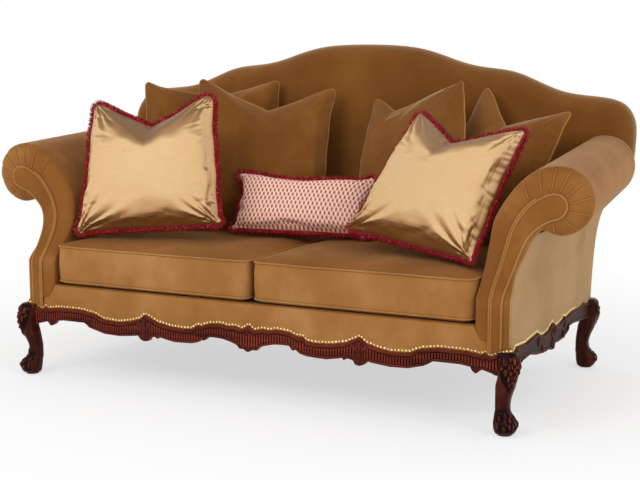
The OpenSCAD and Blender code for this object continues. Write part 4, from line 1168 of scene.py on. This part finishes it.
CLOTH = {"quality": 4, "mass": 0.15, "tension_stiffness": 30, "compression_stiffness": 30,
         "shear_stiffness": 8, "bending_stiffness": 0.02, "use_pressure": True,
         "uniform_pressure_force": 3.0, "shrink_min": -0.03}
CLOTH_FRAMES = 14
CLOTH_REACH = 16.0


def simulate(name, points, faces):
    """Blows the cushion up as cloth and returns its points, none moved further than the reach."""
    obj = mesh_object(name, points * MM, faces)
    cloth = obj.modifiers.new("cloth", "CLOTH")
    for key, value in CLOTH.items():
        setattr(cloth.settings, key, value)
    cloth.settings.effector_weights.gravity = 0
    cloth.collision_settings.use_collision = False
    cloth.point_cache.frame_start, cloth.point_cache.frame_end = 1, CLOTH_FRAMES
    scene = bpy.context.scene
    for f in range(1, CLOTH_FRAMES + 1):
        scene.frame_set(f)
    graph = bpy.context.evaluated_depsgraph_get()
    shaped = obj.evaluated_get(graph)
    result = np.array([tuple(v.co) for v in shaped.data.vertices]) / MM
    bpy.data.objects.remove(obj)
    scene.frame_set(1)
    move = result - points
    length = np.linalg.norm(move, axis=1, keepdims=True)
    return points + move * np.minimum(1, CLOTH_REACH / np.maximum(length, 1e-6))


def refined(values, n):
    """A square grid of points on to a finer one, by straight lines between neighbours."""
    m = CLOTH_CELLS + 1
    coarse, fine = np.linspace(0, 1, m), np.linspace(0, 1, n)
    sheets = []
    for sheet in values.reshape(2, m, m, 3):
        rows = np.stack([[np.interp(fine, coarse, row[:, k]) for k in range(3)] for row in sheet])
        full = np.stack([[np.interp(fine, coarse, rows[:, k, c]) for k in range(3)] for c in range(n)])
        sheets.append(full.transpose(2, 0, 1).reshape(-1, 3))
    return np.vstack(sheets)


def pillow_points(c, cells):
    """Front and back sheets over one grid, joined at the seam."""
    n = cells + 1
    line = np.sin(np.pi / 2 * np.linspace(-1, 1, n))
    u, v = np.meshgrid(line, line)
    x, z = pillow_seam(c, u, v)
    half = PILLOW_EDGE + (c.thick / 2 - PILLOW_EDGE) * np.clip((1 - u * u) * (1 - v * v), 0, None) ** 0.5
    front = np.stack([x, -half, z], -1).reshape(-1, 3)
    back = np.stack([x, half, z], -1).reshape(-1, 3)
    steps = range(n - 1)
    edge = (list(steps) + [i * n + n - 1 for i in steps]
            + [n * n - 1 - i for i in steps] + [(n - 1 - i) * n for i in steps])
    faces = []
    for r in steps:
        for k in steps:
            a = r * n + k
            faces.append((a, a + 1, a + n + 1, a + n))
            faces.append((a + n * n, a + n + n * n, a + n + 1 + n * n, a + 1 + n * n))
    for i, a in enumerate(edge):
        b = edge[(i + 1) % len(edge)]
        faces.append((a, a + n * n, b + n * n, b))
    uv = np.stack([u * c.w / 2, v * c.h / 2], -1).reshape(-1, 2) * MM
    return np.vstack([front, back]), faces, np.vstack([uv, uv]), edge, (u, v)


# Count, reach, width, depth and lean of the creases; count, depth and reach of the folds
SIDE_CREASES = (30, (0.1, 0.3), (0.018, 0.03), (0.7, 2.2), 0.5)
TOP_CREASES = (22, (0.06, 0.18), (0.014, 0.026), (0.8, 2.6), 0.4)
FOOT_FOLDS = (4, 4.5, 0.5)
TOP_FOLDS = (4, 3.5, 0.35)
DENT_FOLDS = 5


def crease_lines(rng, along, inward, count, reach, width, depth, lean):
    """Narrow valleys that start at a seam and run inwards, each with a ridge beside it."""
    push = np.zeros(len(along))
    for _ in range(count):
        at, far = rng.uniform(-0.86, 0.86), rng.uniform(*reach)
        slope = rng.uniform(-lean, lean) - at * 0.45
        wide, deep = rng.uniform(*width), rng.uniform(*depth)
        off = along - at - slope * inward
        fade = np.exp(-(inward / far) ** 2)
        push -= deep * np.exp(-(off / wide) ** 2) * fade
        push += 0.6 * deep * np.exp(-((off - 2 * wide) / wide) ** 2) * fade
    return push


def corner_folds(rng, u, v, side, end, count, deep, far_at):
    """Folds that fan out of one corner."""
    du, dv = 1 - side * u, 1 - end * v
    turn, far = np.arctan2(du, dv + 0.02), np.hypot(du, dv)
    push = np.zeros(len(u))
    for k in range(count):
        angle = mix(0.12, 1.45, (k + 0.5) / count) + rng.uniform(-0.06, 0.06)
        bend = rng.uniform(-0.25, 0.25)
        away = far_at * rng.uniform(0.8, 1.25)
        off = turn - angle - bend * (far - away)
        fade = np.exp(-((far - away * 0.6) / (away * 0.75)) ** 2)
        push -= deep * np.exp(-(off / 0.075) ** 2) * fade
        push += 0.5 * deep * np.exp(-((off - 0.16) / 0.09) ** 2) * fade
    return push


def pucker(c, points, u, v, strength):
    """Creases that run in from the seams, fan out of the corners and gather at the dent."""
    u, v = np.tile(u.ravel(), 2), np.tile(v.ravel(), 2)
    rng = random.Random(c.seed)
    push = np.zeros(len(points))
    for side in (-1, 1):
        push += crease_lines(rng, v, 1 - side * u, *SIDE_CREASES)
        push += crease_lines(rng, u, 1 - side * v, *TOP_CREASES)
        push += corner_folds(rng, u, v, side, -1, *FOOT_FOLDS)
        push += corner_folds(rng, u, v, side, 1, *TOP_FOLDS)
    # Folds that fan out from the dent
    if c.dent > 20:
        du, dv = u - c.dent_at, 1.0 - v
        turn, far = np.arctan2(du, dv + 0.02), np.hypot(du, dv)
        for k in range(DENT_FOLDS):
            angle = mix(-1.0, 1.0, k / (DENT_FOLDS - 1)) + rng.uniform(-0.1, 0.1)
            push -= 6.0 * np.exp(-((turn - angle) / 0.13) ** 2) * np.exp(-(far / 0.17) ** 2)
            push += 4.0 * np.exp(-((turn - angle - 0.22) / 0.1) ** 2) * np.exp(-(far / 0.15) ** 2)
    # Broad soft hollows of the filling
    flat = np.stack([u * 1.6, v * 1.6, np.zeros(len(u))], 1)
    push += wave(flat, 1.0, 5.0, c.seed * 3.7) + wave(flat, 0.35, 1.6, c.seed * 1.3)
    fade = np.clip((1 - u * u) * (1 - v * v) * 30, 0, 1) ** 0.5
    moved = points.copy()
    moved[:, 1] += np.sign(points[:, 1]) * push * fade * strength
    return moved


def seat_pillow(c, points, line):
    """Turns the cushion and lowers it until it lies where its solid lies."""
    turn = c.rotation()
    centre = (c.node_low + c.node_high) / 2
    plain = pillow_points(c, PILLOW_CELLS)[0] @ turn.T
    middle = (plain.min(0) + plain.max(0)) / 2
    place = centre + [0.0, MIDDLE_Y, 0.0] - middle
    return points @ turn.T + place, line @ turn.T + place


def pillow(c, material, slot, body, strength, cord=None):
    points, faces, uvs, edge, (u, v) = pillow_points(c, PILLOW_CELLS)
    n = PILLOW_CELLS + 1
    coarse, coarse_faces = pillow_points(c, CLOTH_CELLS)[:2]
    start = coarse * UNFILLED
    moved = simulate(c.name + "_cloth", start, coarse_faces)
    points = points * UNFILLED + refined(moved - start, n)
    points = pucker(c, points, u, v, strength)
    seam = (points[edge] + points[np.array(edge) + n * n]) / 2
    world, path = seat_pillow(c, points, seam)
    obj = mesh_object(c.name + "_cover", to_frame(world), faces, uvs)
    finish_piece(obj, material, slot, body, [c.name])
    if cord:
        cords(c.name + "_piping", [path], PIPING_R, cord, slot, body, True)
    return path


FRINGE_THREADS = 1500
FRINGE_LENGTH = 18.5
TUFT = 7


def fringe(c, name, world_seam, body):
    """A braided heading with a dense row of loose threads that hang together in small tufts."""
    rng = random.Random(c.seed + 100)
    normal = c.rotation() @ np.array([0.0, 1.0, 0.0])
    ring = spaced(np.vstack([world_seam, world_seam[:1]]), FRINGE_THREADS)[:-1]
    ahead = np.roll(ring, -1, 0) - np.roll(ring, 1, 0)
    ahead /= np.linalg.norm(ahead, axis=1)[:, None]
    out = np.cross(ahead, normal)
    if np.mean(np.einsum("ij,ij->i", out, ring - ring.mean(0))) < 0:
        out = -out
    # Threads fan out evenly round the corners
    for _ in range(30):
        out = out + np.roll(out, 1, 0) + np.roll(out, -1, 0)
        out /= np.linalg.norm(out, axis=1)[:, None]
    points, faces = [], []
    leans = [(rng.uniform(-0.3, 0.3), rng.uniform(-0.3, 0.3), rng.uniform(-1.0, 0.6))
             for _ in range(len(ring) // TUFT + 1)]
    for layer in (-1, 0, 1):
        for i in range(len(ring)):
            along, across, longer = leans[i // TUFT]
            gather = ((i % TUFT) / (TUFT - 1) - 0.5) * -0.14
            root = ring[i] + normal * layer * 1.6 - out[i]
            length = FRINGE_LENGTH + longer + rng.uniform(-0.5, 0.5)
            lean = (ahead[i] * (along * 0.6 + gather + rng.uniform(-0.06, 0.06))
                    + normal * (layer * 0.36 + across * 0.7 + rng.uniform(-0.06, 0.06)))
            base = len(points)
            for t, w in ((0.0, 0.7), (0.55, 0.8), (1.0, 0.35)):
                at = root + (out[i] + lean * t) * length * t
                points += [at + ahead[i] * w, at + normal * w, at - ahead[i] * w]
            faces += grid_faces(3, 3, start=base)
            faces.append((base + 6, base + 7, base + 8))
    obj = mesh_object(name + "_threads", to_frame(points), faces, closed=False)
    finish_piece(obj, FRINGE, "fringe", body, [name])
    heading, ends = tube_mesh(ring[::3], 2.6, 8, True)
    braid = mesh_object(name + "_heading", to_frame(heading), ends)
    finish_piece(braid, FRINGE, "fringe", body)


# Building everything

front_apron()
for side, word in ((-1, "left"), (1, "right")):
    side_apron(side)
    arm(side, word + "_arm")
    arm_facing(side, word + "_arm_facing")
    arm_welts(side, word + "_arm_welt")
    outside_arm(side, word + "_outside_arm")
    seat_cushion(side, word + "_seat_cushion", word + "_seat")
    seat_welts(side, word + "_cushion_welts", word + "_seat")
for k, name in enumerate(["front_left_leg", "front_right_leg", "rear_left_leg", "rear_right_leg"]):
    leg(k, name)
back()
outside_back()
back_welt()
front_border()

CUSHIONS = [
    (Cushion("left_front_velvet_pillow", (LEFT_VELVET, LEFT_VELVET), 140, 0.02, 80, 0.06,
             (22, 22.5, -4.5), 1), SHADED_PILLOW_VELVET, "cushion_velvet", "left_front_velvet", 0.4, None),
    (Cushion("left_rear_velvet_pillow", (LEFT_VELVET, LEFT_VELVET), 120, 0.02, 35, 0.0,
             (25.5, 16, 0.5), 2), SHADED_PILLOW_VELVET, "cushion_velvet", "left_rear_velvet", 0.4, None),
    (Cushion("right_front_velvet_pillow", (575, RIGHT_VELVET), 110, 0.23, 48, -0.45,
             (-22, 21, 13.5), 3), SHADED_PILLOW_VELVET, "cushion_velvet", "right_front_velvet", 0.45, None),
    (Cushion("right_rear_velvet_pillow", (480, RIGHT_VELVET), 120, 0.06, 85, -0.14,
             (-21, 25.5, -11), 4), SHADED_PILLOW_VELVET, "cushion_velvet", "right_rear_velvet", 0.45, None),
    (Cushion("left_silk_pillow", (SILK_FOOT, SILK_SIDE), 150, 0.13, 78, 0.0, (10, 20, 5.2), 5, 34.0),
     LEFT_SILK, "gold_silk", "left_silk", 1.0, "left_silk_fringe"),
    (Cushion("right_silk_pillow", (SILK_FOOT, SILK_SIDE), 150, 0.13, 70, -0.1, (-16.5, 34, -6), 6, 16.0),
     RIGHT_SILK, "gold_silk", "right_silk", 1.0, "right_silk_fringe"),
    (Cushion("lumbar_pillow", (518, 238), 100, 0, 4, 0.0, (9, 30, -0.5), 7, 24.0),
     LATTICE, "lumbar_weave", "lumbar", 0.45, "lumbar_fringe")]
for cushion, material, slot, body, strength, edging in CUSHIONS:
    seam = pillow(cushion, material, slot, body, strength, None if edging else PIPING)
    if edging:
        fringe(cushion, edging, seam, body)

# CAD pieces that stay as they are get their own materials
KEPT = [
    (BRASS, ["front_nails", "left_nails", "right_nails"]),
    (RAIL_WOOD, ["back_rail"]),
    (BEECH, ["front_rail", "left_side_rail", "right_side_rail", "corner_blocks",
             "left_arm_posts", "right_arm_posts", "left_arm_rail", "right_arm_rail",
             "left_back_post", "right_back_post", "back_top_rail", "back_cross_rail"]),
    (STEEL, ["leg_bolts"]), (GLIDE, ["foot_glides"]), (DUST, ["dust_cover"]),
    (WEBBING, ["seat_webbing"]), (SHADED_DECK, ["seat_deck"])]
for material, nodes in KEPT:
    for node in nodes:
        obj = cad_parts[node]
        obj.data.materials.clear()
        obj.data.materials.append(material)


# Stage, lights and camera

FLOOR = 30.0
FLOOR_FADE = {"From Min": 1.1, "From Max": 2.6, "To Min": 0.6, "To Max": 1.0}
AMBIENT = 0.75
KEY_POWER = 70
FILL_POWER = 40
SENSOR = 36.0
FOCAL_SHARE = 1356.85 / 640
AZIMUTH = 25.585
DOWN = 8.715
EYE = (2.1245, -3.870, 1.2245)


def seen_rays(owner):
    """One for what the camera sees straight, mirrored or through glass, and zero for the rest."""
    rays = add(owner, "ShaderNodeLightPath").outputs
    first = math_node(owner, "MAXIMUM", rays["Is Camera Ray"], rays["Is Glossy Ray"])
    return math_node(owner, "MAXIMUM", first, rays["Is Transmission Ray"])


def stage_floor():
    corners = [(FLOOR * x, FLOOR * y, 0) for x, y in ((-1, -1), (1, -1), (1, 1), (-1, 1))]
    obj = mesh_object("floor", corners, [(0, 1, 2, 3)], closed=False)
    mat, bsdf = new_material("floor", (0.97, 0.97, 0.97), 0.95)
    surface(bsdf, Specular_IOR_Level=0.0)
    # Seen by the camera the floor is part white near the sofa and fades to white away from it
    white = add(mat, "ShaderNodeEmission", Strength=1.0)
    far = add(mat, "ShaderNodeVectorMath", operation="LENGTH")
    link(mat, coords(mat), far.inputs[0])
    fade = add(mat, "ShaderNodeMapRange", **FLOOR_FADE)
    link(mat, far.outputs["Value"], fade.inputs["Value"])
    blend = add(mat, "ShaderNodeMixShader")
    link(mat, math_node(mat, "MULTIPLY", fade.outputs["Result"], seen_rays(mat)), blend.inputs[0])
    link(mat, bsdf.outputs[0], blend.inputs[1])
    link(mat, white.outputs[0], blend.inputs[2])
    link(mat, blend.outputs[0], mat.node_tree.nodes["Material Output"].inputs["Surface"])
    obj.data.materials.append(mat)


def aim(obj, place, ahead):
    obj.location = place
    obj.rotation_euler = ahead.to_track_quat("-Z", "Y").to_euler()


def area_light(name, place, target, size, power):
    data = bpy.data.lights.new(name, "AREA")
    data.shape = "RECTANGLE"
    data.size, data.size_y = size
    data.energy = power
    aim(placed(name, data), place, Vector(target) - Vector(place))


def studio():
    """White all round, softer where it only lights the sofa, and two broad lamps."""
    world = bpy.data.worlds.new("studio")
    bpy.context.scene.world = world
    world.use_nodes = True
    ambient = world.node_tree.nodes["Background"]
    surface(ambient, Color=(*WHITE, 1), Strength=AMBIENT)
    white = add(world, "ShaderNodeBackground", Color=(*WHITE, 1))
    shader = add(world, "ShaderNodeMixShader")
    for source, slot in ((seen_rays(world), 0), (ambient.outputs[0], 1), (white.outputs[0], 2)):
        link(world, source, shader.inputs[slot])
    link(world, shader.outputs[0], world.node_tree.nodes["World Output"].inputs["Surface"])
    area_light("key", (-1.4, -4.2, 3.4), (0, 0, 0.5), (2.6, 1.8), KEY_POWER)
    area_light("fill", (4.6, -2.2, 2.2), (0.2, 0, 0.5), (2.4, 2.0), FILL_POWER)


def camera():
    data = bpy.data.cameras.new("camera")
    data.sensor_width = SENSOR
    data.lens = FOCAL_SHARE * SENSOR
    azimuth, down = math.radians(AZIMUTH), math.radians(DOWN)
    forward = Vector((-math.sin(azimuth) * math.cos(down), math.cos(azimuth) * math.cos(down),
                      -math.sin(down)))
    x, y, z = EYE
    obj = placed("camera", data)
    aim(obj, (x, y - MIDDLE_Y * MM, z), forward)
    bpy.context.scene.camera = obj


bpy.context.scene.view_settings.view_transform = "Standard"
stage_floor()
studio()
camera()
